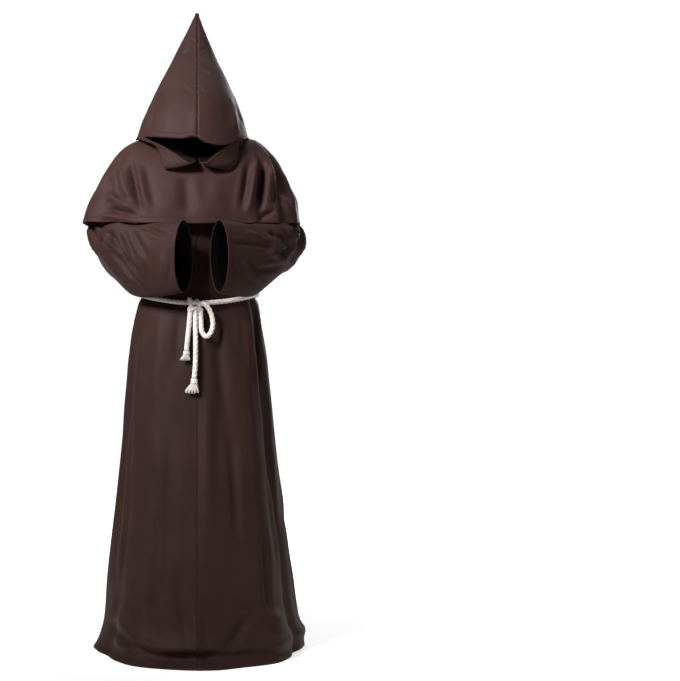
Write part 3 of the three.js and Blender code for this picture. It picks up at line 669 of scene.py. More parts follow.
HOOD_CREASES = (
    creases(View.FRONT, [
        (-44, 175, -13, 158, 2, 3, 4), (-38, 152, -13, 147, 1, 2.5, -4), (-1, 164, 24, 147, -2, 3, -4),
        (-27, 321, 4, 304, 2, 3, -3), (1, 282, 30, 290, 2, 4, -2), (-49, 282, -13, 293, 2, 4, 3),
        (7, 237, 41, 209, 0, 7, -2), (-66, 150, -104, 44, 9, 24, 2.6), (62, 128, 88, 26, -6, 22, -2.2),
        (-24, 96, -34, 20, 3, 13, -1.6), (-83, -16, -89, -56, 0, 5, 2), (-111, -5, -111, -56, 0, 6, -3),
        (41, -22, 46, -67, 0, 7, -2), (120, -16, 97, -61, 4, 8, 2),
    ])
    + creases(View.BACK, [
        (37, 74, 0, 51, 2, 4, 4), (31, 46, 0, 34, 0, 3, -4), (-60, 48, -110, 14, 4, 8, -12),
        (-16, 26, -72, 60, 8, 7, 7), (-20, 152, -53, 136, 0, 4, -3), (53, 136, 76, 34, 3, 10, 4),
        (-48, 237, -70, 96, -3, 10, -3), (14, 237, 31, 96, 3, 9, 3), (82, 91, 104, 17, 3, 8, -4),
    ])
    + creases(View.LEFT, [
        (-60, 60, -30, 150, 6, 14, 5), (20, 50, 30, 200, -5, 16, -5), (70, 90, 60, 240, 4, 12, 4),
        (-100, 40, -80, 110, 4, 10, -4),
    ])
    + creases(View.RIGHT, [
        (-60, 60, -30, 150, 6, 14, -4), (20, 50, 30, 200, -5, 16, 5), (70, 90, 60, 240, 4, 12, -4),
        (-100, 40, -80, 110, 4, 10, 4),
    ])
)


FLOAT = "NodeSocketFloat"
VECTOR = "NodeSocketVector"
COLOR = "NodeSocketColor"
GREY = (0.5, 0.5, 0.5, 1)

# How closely the shader's unevenness lies across and along the threads or the yarn.
SLUB_STRETCH = (420.0, 34.0, 1.0)
HAIR_STRETCH = (3200.0, 260.0, 1.0)
LUMP_STRETCH = (500.0, 120.0, 1.0)
PUCKER_STRETCH = (1.0, 1.0, 0.45)

# Stitches: half width of the thread and reach of the dip in metres, and share of the pitch that shows.
STITCH_HALF = 0.0006
STITCH_DIP = 0.004
STITCH_SHARE = 0.68


class GroupGraph:
    """Short calls that make the nodes of one shader tree."""

    def __init__(self, tree: bpy.types.NodeTree) -> None:
        """Take a tree.

        Args:
            tree: A node group, or the tree of a material.
        """
        self.tree = tree
        self.entry: bpy.types.Node | None = None
        self.exit: bpy.types.Node | None = None

    def node(self, kind: str, **values: object) -> bpy.types.Node:
        """Make a node and set its own properties.

        Args:
            kind: The node's type.
            **values: Its properties by name.

        Returns:
            The node.
        """
        made = self.tree.nodes.new(kind)
        for name, value in values.items():
            setattr(made, name, value)
        return made

    def feed(self, socket: bpy.types.NodeSocket, value: object) -> None:
        """Link a socket to another, or give it a fixed value.

        Args:
            socket: The input that is fed.
            value: A socket, or a value.
        """
        if isinstance(value, bpy.types.NodeSocket):
            self.tree.links.new(value, socket)
        else:
            socket.default_value = value

    def given(self, name: str) -> bpy.types.NodeSocket:
        """An input of the group.

        Args:
            name: Name of the input.

        Returns:
            Its socket.
        """
        if self.entry is None:
            self.entry = self.node("NodeGroupInput")
        return self.entry.outputs[name]

    def put(self, name: str, value: bpy.types.NodeSocket) -> None:
        """Give an output of the group its value.

        Args:
            name: Name of the output.
            value: Socket that is linked to it.
        """
        if self.exit is None:
            self.exit = self.node("NodeGroupOutput")
        self.tree.links.new(value, self.exit.inputs[name])

    def math(self, operation: str, first: object, second: object = 0.0) -> bpy.types.NodeSocket:
        """One sum of one or two numbers or sockets.

        Args:
            operation: Name of the sum.
            first: First number or socket.
            second: Second number or socket.

        Returns:
            The result's socket.
        """
        made = self.node("ShaderNodeMath", operation=operation)
        self.feed(made.inputs[0], first)
        self.feed(made.inputs[1], second)
        return made.outputs[0]

    def part(self, source: str | bpy.types.NodeSocket, axis: str) -> bpy.types.NodeSocket:
        """One coordinate of a vector.

        Args:
            source: The vector's socket, or the name of an input of the group.
            axis: X, Y or Z.

        Returns:
            The coordinate's socket.
        """
        made = self.node("ShaderNodeSeparateXYZ")
        self.feed(made.inputs[0], self.given(source) if isinstance(source, str) else source)
        return made.outputs[axis]

    def stretched(self, source: str | bpy.types.NodeSocket, scale: Point) -> bpy.types.NodeSocket:
        """A vector with each coordinate multiplied by its own scale.

        Args:
            source: The vector's socket, or the name of an input of the group.
            scale: The three scales.

        Returns:
            The result's socket.
        """
        made = self.node("ShaderNodeVectorMath", operation="MULTIPLY")
        self.feed(made.inputs[0], self.given(source) if isinstance(source, str) else source)
        made.inputs[1].default_value = scale
        return made.outputs[0]

    def noise(self, place: bpy.types.NodeSocket, scale: object, detail: float,
              rough: float) -> bpy.types.NodeSocket:
        """Value of a noise texture.

        Args:
            place: Where it is read.
            scale: Number or socket of its scale.
            detail: Number of finer layers.
            rough: Strength of the finer layers.

        Returns:
            The value's socket.
        """
        made = self.node("ShaderNodeTexNoise")
        self.feed(made.inputs["Vector"], place)
        self.feed(made.inputs["Scale"], scale)
        made.inputs["Detail"].default_value = detail
        made.inputs["Roughness"].default_value = rough
        return made.outputs["Fac"]

    def mix(self, share: object, first: object, second: object) -> bpy.types.NodeSocket:
        """Mix of two colours.

        Args:
            share: Share of the second colour.
            first: First colour or socket.
            second: Second colour or socket.

        Returns:
            The colour's socket.
        """
        made = self.node("ShaderNodeMix", data_type="RGBA")
        self.feed(made.inputs[0], share)
        self.feed(made.inputs[6], first)
        self.feed(made.inputs[7], second)
        return made.outputs[2]

    def placed(self, tree: bpy.types.NodeTree, **values: object) -> bpy.types.Node:
        """Place a group with its values.

        Args:
            tree: The group.
            **values: Its inputs by name, with an underscore for each space.

        Returns:
            The group's node.
        """
        made = self.node("ShaderNodeGroup")
        made.node_tree = tree
        for name, value in values.items():
            self.feed(made.inputs[name.replace("_", " ")], value)
        return made

    def bump(self, height: bpy.types.NodeSocket, distance: float, strength: float,
             under: bpy.types.NodeSocket | None = None) -> bpy.types.NodeSocket:
        """Normal bent by a height.

        Args:
            height: The height's socket.
            distance: Height in metres that a value of 1 stands for.
            strength: Strength of the bend.
            under: Normal that is bent, or None for the surface's own.

        Returns:
            The normal's socket.
        """
        made = self.node("ShaderNodeBump")
        made.inputs["Strength"].default_value = strength
        made.inputs["Distance"].default_value = distance
        self.feed(made.inputs["Height"], height)
        if under is not None:
            self.feed(made.inputs["Normal"], under)
        return made.outputs["Normal"]


class NodeBook:
    """Shader node groups that several materials share, each built once."""

    def __init__(self) -> None:
        """Start with no group built."""
        self.groups: dict[str, bpy.types.NodeTree] = {}

    def group(self, name: str, inputs: Sequence[tuple[str, str, object]], outputs: Sequence[tuple[str, str]],
              fill: Callable[[GroupGraph], None]) -> bpy.types.NodeTree:
        """Build a group, or give back the one that exists.

        Args:
            name: Name of the group.
            inputs: Name, socket type and default of each input.
            outputs: Name and socket type of each output.
            fill: Function that makes the group's nodes and links.

        Returns:
            The group's node tree.
        """
        if name in self.groups:
            return self.groups[name]
        tree = bpy.data.node_groups.new(name, "ShaderNodeTree")
        for socket, kind, default in inputs:
            made = tree.interface.new_socket(name=socket, in_out="INPUT", socket_type=kind)
            if default is not None:
                made.default_value = default
        for socket, kind in outputs:
            tree.interface.new_socket(name=socket, in_out="OUTPUT", socket_type=kind)
        fill(GroupGraph(tree))
        self.groups[name] = tree
        return tree

    def weave(self) -> bpy.types.NodeTree:
        """Plain weave: a fine over-and-under height, and a slub that darkens some threads.

        Returns:
            The group's node tree.
        """

        def fill(graph: GroupGraph) -> None:
            """Make the nodes.

            Args:
                graph: The group's tree.
            """
            pitch = graph.math("MULTIPLY", graph.given("Threads"), 2 * math.pi)
            across = graph.math("SINE", graph.math("MULTIPLY", graph.part("Place", "X"), pitch))
            along = graph.math("SINE", graph.math("MULTIPLY", graph.part("Place", "Y"), pitch))
            graph.put("Height", graph.math("MULTIPLY", across, along))
            slub = graph.noise(graph.stretched("Place", SLUB_STRETCH), 1.0, 2.0, 0.6)
            turned = (SLUB_STRETCH[1], SLUB_STRETCH[0], SLUB_STRETCH[2])
            other = graph.noise(graph.stretched("Place", turned), 1.0, 2.0, 0.6)
            graph.put("Slub", graph.math("MULTIPLY", graph.math("ADD", slub, other), 0.5))

        return self.group("plain_weave", [("Place", VECTOR, None), ("Threads", FLOAT, 900.0)],
                          [("Height", FLOAT), ("Slub", FLOAT)], fill)

    def mottle(self) -> bpy.types.NodeTree:
        """Two colours mixed by a broad soft noise and by a finer mask.

        Returns:
            The group's node tree.
        """

        def fill(graph: GroupGraph) -> None:
            """Make the nodes.

            Args:
                graph: The group's tree.
            """
            broad = graph.noise(graph.given("Place"), graph.given("Scale"), 3.0, 0.55)
            broad_off = graph.math("SUBTRACT", broad, 0.5)
            spread = graph.math("MULTIPLY", broad_off, graph.given("Contrast"))
            fine_off = graph.math("SUBTRACT", graph.given("Mask"), 0.5)
            fine = graph.math("MULTIPLY", fine_off, graph.given("Fine"))
            share = graph.math("ADD", graph.math("ADD", spread, fine), 0.5)
            graph.put("Color", graph.mix(share, graph.given("Color A"), graph.given("Color B")))
            graph.put("Share", share)

        return self.group("soft_mottle", [
            ("Place", VECTOR, None), ("Scale", FLOAT, 4.0), ("Contrast", FLOAT, 1.0),
            ("Mask", FLOAT, 0.5), ("Fine", FLOAT, 0.3), ("Color A", COLOR, GREY), ("Color B", COLOR, GREY),
        ], [("Color", COLOR), ("Share", FLOAT)], fill)

    def stitches(self) -> bpy.types.NodeTree:
        """A row of stitches at a distance from an edge, and the slight dip that it pulls.

        Returns:
            The group's node tree.
        """

        def fill(graph: GroupGraph) -> None:
            """Make the nodes.

            Args:
                graph: The group's tree.
            """
            off = graph.math("ABSOLUTE", graph.math("SUBTRACT", graph.given("Away"), graph.given("Inset")))
            line = graph.math("LESS_THAN", off, STITCH_HALF)
            step = graph.math("FRACT", graph.math("DIVIDE", graph.given("Along"), graph.given("Pitch")))
            dash = graph.math("LESS_THAN", step, STITCH_SHARE)
            graph.put("Thread", graph.math("MULTIPLY", line, dash))
            reach = graph.math("MINIMUM", graph.math("DIVIDE", off, STITCH_DIP), 1.0)
            dip = graph.math("SUBTRACT", 1.0, reach)
            graph.put("Dip", graph.math("MULTIPLY", dip, dip))

        return self.group("stitch_row", [
            ("Away", FLOAT, 1.0), ("Along", FLOAT, 0.0), ("Inset", FLOAT, 0.02), ("Pitch", FLOAT, 0.0032),
        ], [("Thread", FLOAT), ("Dip", FLOAT)], fill)

    def fibre(self) -> bpy.types.NodeTree:
        """Loose cotton fibres that run along a yarn.

        Returns:
            The group's node tree.
        """

        def fill(graph: GroupGraph) -> None:
            """Make the nodes.

            Args:
                graph: The group's tree.
            """
            graph.put("Hair", graph.noise(graph.stretched("Place", HAIR_STRETCH), 1.0, 4.0, 0.65))
            graph.put("Lump", graph.noise(graph.stretched("Place", LUMP_STRETCH), 1.0, 2.0, 0.5))

        return self.group("cotton_fibre", [("Place", VECTOR, None)], [("Hair", FLOAT), ("Lump", FLOAT)], fill)


BOOK = NodeBook()


def linear(red: float, green: float, blue: float) -> tuple[float, float, float, float]:
    """Linear colour from display values.

    Args:
        red: Red from 0 to 255.
        green: Green from 0 to 255.
        blue: Blue from 0 to 255.

    Returns:
        Linear red, green, blue and 1.
    """
    parts = [((v / 255 + 0.055) / 1.055) ** 2.4 if v > 10 else v / 3294.6 for v in (red, green, blue)]
    return tuple(parts + [1.0])


def begin_material(name: str) -> tuple[bpy.types.Material, GroupGraph, bpy.types.Node]:
    """Start a material.

    Args:
        name: Name of the material.

    Returns:
        The material, its graph and its shader node.
    """
    made = bpy.data.materials.new(name)
    made.use_nodes = True
    return made, GroupGraph(made.node_tree), made.node_tree.nodes["Principled BSDF"]


def set_values(shader: bpy.types.Node, values: dict[str, object]) -> None:
    """Give inputs of a node fixed values.

    Args:
        shader: The node.
        values: Value of each input by name.
    """
    for name, value in values.items():
        shader.inputs[name].default_value = value


@dataclass(frozen=True)
class ClothFinish:
    """A thin, slightly lustrous woven cloth.

    Attributes:
        name: Name of the material.
        dark: Display colour of the deeper patches.
        pale: Display colour of the paler patches.
        rough: Roughness.
        sheen: Strength of the soft light at grazing angles.
        threads: Threads in a metre.
        hem: Distance of the hem's stitches from the edge, in metres.
        scale: Scale of the soft patches.
        contrast: How strongly the patches show.
        fine: How strongly single threads show in the colour.
        slub_rough: Range of the roughness from thread to thread.
        dip_painted_shade: How strongly painted shade darkens the dip beside the stitches.
        painted_dip_dark: Colour of the painted shade in the dip, as a share of the dark one.
        thread_pale: The stitches' colour as a share of the pale one.
        specular: Strength of the plain reflection.
    """

    name: str
    dark: tuple[float, float, float]
    pale: tuple[float, float, float]
    rough: float = 0.6
    sheen: float = 0.06
    threads: float = 900.0
    hem: float = 0.02
    scale: float = 5.0
    contrast: float = 1.2
    fine: float = 1.1
    slub_rough: float = 0.18
    dip_painted_shade: float = 0.25
    painted_dip_dark: float = 0.62
    thread_pale: float = 1.06
    specular: float = 0.1

    def material(self) -> bpy.types.Material:
        """Build the material once.

        Returns:
            The material.
        """
        if self.name in bpy.data.materials:
            return bpy.data.materials[self.name]
        made, graph, shader = begin_material(self.name)
        cloth = graph.node("ShaderNodeUVMap", uv_map="cloth").outputs["UV"]
        edge = graph.node("ShaderNodeUVMap", uv_map="hem").outputs["UV"]
        place = graph.node("ShaderNodeTexCoord").outputs["Object"]
        weave = graph.placed(BOOK.weave(), Place=cloth, Threads=self.threads)
        stitch = graph.placed(BOOK.stitches(), Away=graph.part(edge, "Y"), Along=graph.part(edge, "X"),
                              Inset=self.hem)
        tone = graph.placed(BOOK.mottle(), Place=place, Scale=self.scale, Contrast=self.contrast,
                            Mask=weave.outputs["Slub"], Fine=self.fine,
                            Color_A=linear(*self.dark), Color_B=linear(*self.pale))
        # Painted shade: the colour is darkened in the dip beside the stitches.
        dip = graph.math("MULTIPLY", stitch.outputs["Dip"], self.dip_painted_shade)
        painted_dip_color = linear(*[value * self.painted_dip_dark for value in self.dark])
        shaded = graph.mix(dip, tone.outputs["Color"], painted_dip_color)
        thread = linear(*[value * self.thread_pale for value in self.pale])
        graph.feed(shader.inputs["Base Color"], graph.mix(stitch.outputs["Thread"], shaded, thread))
        varied = graph.math("MULTIPLY", weave.outputs["Slub"], self.slub_rough)
        graph.feed(shader.inputs["Roughness"], graph.math("ADD", varied, self.rough - self.slub_rough / 2))
        puckers = graph.noise(graph.stretched(place, PUCKER_STRETCH), 26.0, 3.0, 0.5)
        soft = graph.bump(puckers, 0.0009, 0.3)
        threaded = graph.bump(weave.outputs["Height"], 0.00012, 0.3, soft)
        deep = graph.math("MULTIPLY", stitch.outputs["Dip"], 2.0)
        sunk = graph.math("SUBTRACT", stitch.outputs["Thread"], deep)
        graph.feed(shader.inputs["Normal"], graph.bump(sunk, 0.0005, 0.7, threaded))
        set_values(shader, {"Sheen Weight": self.sheen, "Sheen Roughness": 0.42,
                            "Sheen Tint": (0.86, 0.7, 0.68, 1), "Specular IOR Level": self.specular})
        return made


@dataclass(frozen=True)
class RopeFinish:
    """Soft unbleached cotton.

    Attributes:
        name: Name of the material.
        dark: Display colour between the yarns.
        pale: Display colour of the fibres.
        rough: Least roughness.
        scale: Scale of the soft patches.
        contrast: How strongly the patches show.
        fine: How strongly single fibres show in the colour.
        hair_rough: Range of the roughness from fibre to fibre.
    """

    name: str
    dark: tuple[float, float, float]
    pale: tuple[float, float, float]
    rough: float = 0.75
    scale: float = 40.0
    contrast: float = 0.8
    fine: float = 1.4
    hair_rough: float = 0.2

    def material(self) -> bpy.types.Material:
        """Build the material once.

        Returns:
            The material.
        """
        if self.name in bpy.data.materials:
            return bpy.data.materials[self.name]
        made, graph, shader = begin_material(self.name)
        yarn = graph.node("ShaderNodeUVMap", uv_map="cloth").outputs["UV"]
        place = graph.node("ShaderNodeTexCoord").outputs["Object"]
        fibre = graph.placed(BOOK.fibre(), Place=yarn)
        tone = graph.placed(BOOK.mottle(), Place=place, Scale=self.scale, Contrast=self.contrast,
                            Mask=fibre.outputs["Hair"], Fine=self.fine,
                            Color_A=linear(*self.dark), Color_B=linear(*self.pale))
        graph.feed(shader.inputs["Base Color"], tone.outputs["Color"])
        varied = graph.math("MULTIPLY", fibre.outputs["Hair"], self.hair_rough)
        graph.feed(shader.inputs["Roughness"], graph.math("ADD", varied, self.rough))
        lumps = graph.bump(fibre.outputs["Lump"], 0.0012, 0.5)
        graph.feed(shader.inputs["Normal"], graph.bump(fibre.outputs["Hair"], 0.0005, 0.6, lumps))
        set_values(shader, {"Sheen Weight": 0.3, "Sheen Roughness": 0.6, "Subsurface Weight": 0.08,
                            "Subsurface Radius": (0.004, 0.003, 0.0025)})
        return made


ROBE_CLOTH = ClothFinish("robe_cloth", (40, 24, 23), (54, 35, 31))
CAPE_CLOTH = ClothFinish("cape_cloth", (47, 28, 28), (62, 41, 39), hem=0.015)
HOOD_CLOTH = ClothFinish("hood_cloth", (46, 29, 28), (62, 42, 39), hem=0.015)
# Painted shade: a darker copy of the cloth for the inner side of each wall, which lies in shade.
CLOTH_BACK_PAINTED_SHADE = ClothFinish("cloth_back", (20, 12, 12), (29, 19, 17), sheen=0.0)
COTTON = RopeFinish("cotton_rope", (196, 182, 172), (250, 243, 236))


def triangles_of(piece: bpy.types.Object) -> int:
    """Count the triangles of a piece with its modifiers.

    Args:
        piece: The piece.

    Returns:
        Number of triangles.
    """
    shown = piece.evaluated_get(bpy.context.evaluated_depsgraph_get()).to_mesh()
    shown.calc_loop_triangles()
    return len(shown.loop_triangles)


def dress(piece: bpy.types.Object, nodes: Sequence[str]) -> bpy.types.Object:
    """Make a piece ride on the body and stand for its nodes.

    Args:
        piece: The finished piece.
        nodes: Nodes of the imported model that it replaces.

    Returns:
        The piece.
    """
    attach(piece, BODY)
    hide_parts(*nodes)
    LOG.info("%s: %d triangles", piece.name, triangles_of(piece))
    return piece


def make_object(name: str, places: Array, faces: Sequence[Sequence[int]], cloth: Array, hem: Array | None,
                finish: ClothFinish | RopeFinish) -> bpy.types.Object:
    """Make a smooth mesh object.

    Args:
        name: Name of the object.
        places: Points in millimetres.
        faces: Point numbers of each face.
        cloth: Place of each face corner on the flat cloth or yarn, in metres.
        hem: Distance of each face corner along and from the edge, in metres.
        finish: Finish of the piece.

    Returns:
        The object, linked to the scene.
    """
    mesh = bpy.data.meshes.new(name)
    mesh.from_pydata((places * MM).tolist(), [], [list(face) for face in faces])
    for layer, values in (("cloth", cloth), ("hem", hem)):
        if values is not None:
            mesh.uv_layers.new(name=layer).data.foreach_set("uv", values.astype(np.float32).ravel())
    mesh.polygons.foreach_set("use_smooth", [True] * len(mesh.polygons))
    mesh.materials.append(finish.material())
    mesh.validate()
    made = bpy.data.objects.new(name, mesh)
    bpy.context.scene.collection.objects.link(made)
    return made


# Soft unevenness of the cloth: waves, their lengths in millimetres and how level they lie.
WAVE_COUNT = 9
WAVE_LENGTHS = (70, 210)
WAVE_LEVEL = np.array([1.0, 1.0, 0.45])


@dataclass
class ClothWall:
    """A thin wall of cloth over a grid of points.

    Attributes:
        name: Name of the piece.
        points: Rows, columns, 3, in millimetres.
        wraps: Whether the last column meets the first.
        found: Creases of the piece.
        relief: Share by which the creases are deepened.
        keep: Cells that exist, or None for all.
        waves: Height of the cloth's soft unevenness.
        thickness: Thickness of the cloth.
        seed: Seed of the soft unevenness.
    """

    name: str
    points: Array
    wraps: bool = False
    found: Sequence[Crease] = ()
    relief: float = 1.0
    keep: Array | None = None
    waves: float = 0.9
    thickness: float = 1.5
    seed: int = 1

    def outward(self) -> tuple[Array, float]:
        """Unit normals that point outwards.

        Returns:
            The normals, and the sign that turned them outwards.
        """
        normal = grid_normals(self.points, self.wraps)
        middle = self.points.mean(axis=1, keepdims=True)
        sign = 1.0 if float((normal * (self.points - middle)).sum()) > 0 else -1.0
        return normal * sign, sign

    def unevenness(self) -> Array:
        """Soft unevenness of the cloth from a few long waves in uneven directions.

        Returns:
            Grid of heights.
        """
        rng = np.random.default_rng(self.seed)
        height = np.zeros(self.points.shape[:2])
        for _ in range(WAVE_COUNT):
            direction = rng.normal(size=3) * WAVE_LEVEL
            direction /= np.linalg.norm(direction)
            length = rng.uniform(*WAVE_LENGTHS)
            height += np.sin(self.points @ direction * (2 * math.pi / length) + rng.uniform(0, 6.3))
        return height * self.waves / 3.0

    def lengths(self) -> tuple[Array, Array]:
        """Distances over the cloth.

        Returns:
            Distance across each row from its first column, and up each column from its last row.
        """
        ring = self.closed(self.points)
        up = run_lengths(ring[::-1].swapaxes(0, 1)).T[::-1]
        return run_lengths(ring), up

    def closed(self, grid: Array) -> Array:
        """A grid with its first column once more at the end, where the piece wraps round."""
        return np.concatenate([grid, grid[:, :1]], axis=1) if self.wraps else grid

    def build(self, finish: ClothFinish, lift: Array | None = None,
              hem: Array | None = None) -> bpy.types.Object:
        """Make the piece.

        Args:
            finish: Finish of the cloth.
            lift: Extra height of each point over the cloth, such as a seam's groove.
            hem: Distance of each point from the stitched edge, or None for the last row.

        Returns:
            The object, with its thickness as a modifier.
        """
        normals, sign = self.outward()
        across, up = self.lengths()
        height = self.unevenness() + (0.0 if lift is None else lift)
        height = height + self.relief * sum(crease.height(self.points, normals) for crease in self.found)
        points = self.points + normals * height[..., None]
        points[..., 2] = np.maximum(points[..., 2], FLOOR + self.thickness)
        rows, columns = points.shape[:2]
        cells = (rows - 1, columns if self.wraps else columns - 1)
        row, column = np.nonzero(np.ones(cells) if self.keep is None else self.keep)
        corners = [(row, column), (row + 1, column), (row + 1, column + 1), (row, column + 1)]
        if sign > 0:
            corners = corners[::-1]
        faces = np.stack([r * columns + c % columns for r, c in corners], axis=1)
        used, faces = np.unique(faces, return_inverse=True)
        faces = faces.reshape(-1, 4)
        away = up if hem is None else self.closed(hem)
        flat, edge = (
            np.stack([np.stack([across[r, c], off[r, c]], axis=1) for r, c in corners], axis=1) * MM
            for off in (up, away)
        )
        made = make_object(self.name, points.reshape(-1, 3)[used], faces.tolist(), flat, edge, finish)
        solid = made.modifiers.new("thickness", "SOLIDIFY")
        solid.thickness = self.thickness * MM
        solid.offset = -1.0
        # Painted shade: the inner side takes the darker copy of the cloth.
        made.data.materials.append(CLOTH_BACK_PAINTED_SHADE.material())
        solid.material_offset = 1
        return made


def seam_groove(away: Array, along: Array, depth: float = 1.5, pucker: float = 0.7) -> Array:
    """Height of the cloth beside a seam.

    Args:
        away: Distance from the seam in millimetres.
        along: Distance along the seam.
        depth: Depth of the groove.
        pucker: Height of the small puckers that the thread pulls.

    Returns:
        Height over the cloth.
    """
    groove = depth * (RIDGE[0] * bell(away, *RIDGE[1:]) - bell(away, 0.0, GROOVE_WIDTH))
    wave = np.sin(along / 3.7 + 1.4 * np.sin(along / 11.0)) * np.sin(along / 27.0 + 0.8)
    return groove + pucker * wave * np.exp(-away / PUCKER_REACH)


def tuck(past: Array) -> Array:
    """Height that puts the cloth past a seam under its neighbour."""
    return -TUCK_DEPTH * ease((past + TUCK_START) / TUCK_RUN)


def grey(value: float) -> tuple[float, float, float, float]:
    """A grey colour."""
    return (value, value, value, 1.0)


@dataclass
class Studio:
    """Camera, floor and soft lights.

    Attributes:
        distance: Distance of the camera from the garment's middle, in metres.
        height: Height of the camera.
        lens: Focal length for the 36 mm sensor.
        shift: Sideways shift of the frame.
        half: Half width of the floor.
        near: Distance from the middle, in metres, inside which the floor shows darkest.
        far: Distance from which it shows white.
        near_glow: Glow of the floor inside the near distance.
        bounce: Glow of the floor that lights the piece.
        surround: Strength of the surroundings' own light.
    """

    distance: float = 4.3
    height: float = -0.552
    lens: float = 78.4
    shift: float = 0.2093
    half: float = 9.0
    near: float = 0.5
    far: float = 1.8
    near_glow: float = 0.42
    bounce: float = 0.15
    surround: float = 0.05

    def camera(self) -> None:
        """Make the camera.

        It is level and stands in front of the piece, whose frame is shifted sideways.
        """
        data = bpy.data.cameras.new("camera")
        data.lens = self.lens
        data.sensor_width = 36.0
        data.shift_x = self.shift
        made = bpy.data.objects.new("camera", data)
        made.location = (0.0, -self.distance, self.height)
        made.rotation_euler = (math.radians(90), 0.0, 0.0)
        bpy.context.scene.collection.objects.link(made)
        bpy.context.scene.camera = made

    def light(self, name: str, place: Point, size: float, energy: float, spread: float = 180.0,
              aim: float = -0.5) -> None:
        """Make one soft square light that faces the piece.

        Args:
            name: Name of the light.
            place: Its place in metres.
            size: Its side in metres.
            energy: Its power in watts.
            spread: Angle of its beam in degrees.
            aim: Height of the point on the piece that it faces.
        """
        data = bpy.data.lights.new(name, "AREA")
        data.size = size
        data.energy = energy
        data.spread = math.radians(spread)
        made = bpy.data.objects.new(name, data)
        made.location = place
        made.rotation_euler = (Vector((0, 0, aim)) - Vector(place)).to_track_quat("-Z", "Y").to_euler()
        bpy.context.scene.collection.objects.link(made)

    def floor_material(self) -> bpy.types.Material:
        """Build the floor's material, which glows white away from the piece: painted light.

        Returns:
            The material.
        """
        material, graph, shader = begin_material("pale_floor")
        place = graph.node("ShaderNodeTexCoord").outputs["Object"]
        grain = graph.noise(place, 3.0, 2.0, 0.5)
        graph.feed(shader.inputs["Base Color"], graph.mix(grain, grey(0.86), grey(0.9)))
        away = graph.node("ShaderNodeVectorMath", operation="LENGTH")
        graph.feed(away.inputs[0], graph.stretched(place, (1.0, 1.0, 0.0)))
        far = graph.node("ShaderNodeMapRange", interpolation_type="SMOOTHSTEP")
        graph.feed(far.inputs["Value"], away.outputs["Value"])
        set_values(far, {"From Min": self.near, "From Max": self.far})
        # Painted light: the floor glows for the camera, dimmer near the piece and white further out, and
        # glows faintly to light the piece.
        glow = graph.mix(far.outputs["Result"], grey(self.near_glow), grey(1.0))
        seen = graph.node("ShaderNodeLightPath").outputs["Is Camera Ray"]
        graph.feed(shader.inputs["Emission Color"], graph.mix(seen, grey(self.bounce), glow))
        set_values(shader, {"Roughness": 0.9, "Emission Strength": 1.0})
        return material

    def floor(self) -> None:
        """Make the plain pale floor.

        It lies under the hem.
        """
        signs = ((-1, -1), (1, -1), (1, 1), (-1, 1))
        corners = [(x * self.half, y * self.half, FLOOR * MM) for x, y in signs]
        mesh = bpy.data.meshes.new("studio_floor")
        mesh.from_pydata(corners, [], [(0, 1, 2, 3)])
        mesh.materials.append(self.floor_material())
        made = bpy.data.objects.new("studio_floor", mesh)
        bpy.context.scene.collection.objects.link(made)

    def world(self) -> None:
        """Make the white surroundings.

        They show bright behind the piece but light it only softly.
        """
        world = bpy.data.worlds.new("studio")
        bpy.context.scene.world = world
        world.use_nodes = True
        graph = GroupGraph(world.node_tree)
        background = world.node_tree.nodes["Background"]
        background.inputs["Color"].default_value = grey(1.0)
        seen = graph.node("ShaderNodeLightPath").outputs["Is Camera Ray"]
        graph.feed(background.inputs["Strength"], graph.math("ADD", seen, self.surround))

    def build(self) -> None:
        """Make the camera, the floor, the surroundings and the lights.

        The key light is small and stands high at the piece's left, so the folds cast soft shadows.
        """
        bpy.context.scene.view_settings.view_transform = "Standard"
        self.camera()
        self.floor()
        self.world()
        self.light("key", (-1.9, -2.0, 1.45), size=0.9, energy=27.0, spread=62.0, aim=-0.2)
        self.light("fill", (3.2, -1.9, 0.4), size=2.0, energy=30.0)
        self.light("top", (0.3, 1.2, 2.6), size=1.6, energy=40.0)
        self.light("back", (1.8, 3.4, 0.9), size=2.0, energy=90.0)


def between(t: Array, first: float, last: float, start: Array, end: Array) -> Array:
    """Points that go evenly from start to end while t goes from first to last.

    Args:
        t: Places at which the points are read.
        first: Value of t at the start.
        last: Value of t at the end.
        start: Point or points of the start.
        end: Point or points of the end.

    Returns:
        One point for each t.
    """
    return ((last - t) * start + (t - first) * end) / (last - first)


def rope_line(route: Sequence[Point], step: float) -> Array:
    """Points a step apart on a smooth curve through a route.

    Args:
        route: Points of the route in millimetres.
        step: Distance between the points given back.

    Returns:
        Points in millimetres.
    """
    points = np.array(route, dtype=float)
    points = np.concatenate([[2 * points[0] - points[1]], points, [2 * points[-1] - points[-2]]])
    dense = []
    for index in range(1, len(points) - 2):
        p = points[index - 1:index + 3]
        knots = np.concatenate([[0.0], np.cumsum(np.sqrt(np.linalg.norm(np.diff(p, axis=0), axis=1)))])
        t = np.linspace(knots[1], knots[2], 40, endpoint=False)[:, None]
        a = [between(t, knots[k], knots[k + 1], p[k], p[k + 1]) for k in range(3)]
        b = [between(t, knots[k], knots[k + 2], a[k], a[k + 1]) for k in range(2)]
        dense.append(between(t, knots[1], knots[2], b[0], b[1]))
    line = np.concatenate(dense + [points[-2:-1]])
    length = run_lengths(line)
    even = np.linspace(0, length[-1], max(int(round(length[-1] / step)), 2) + 1)
    return np.stack([np.interp(even, length, line[:, axis]) for axis in range(3)], axis=1)


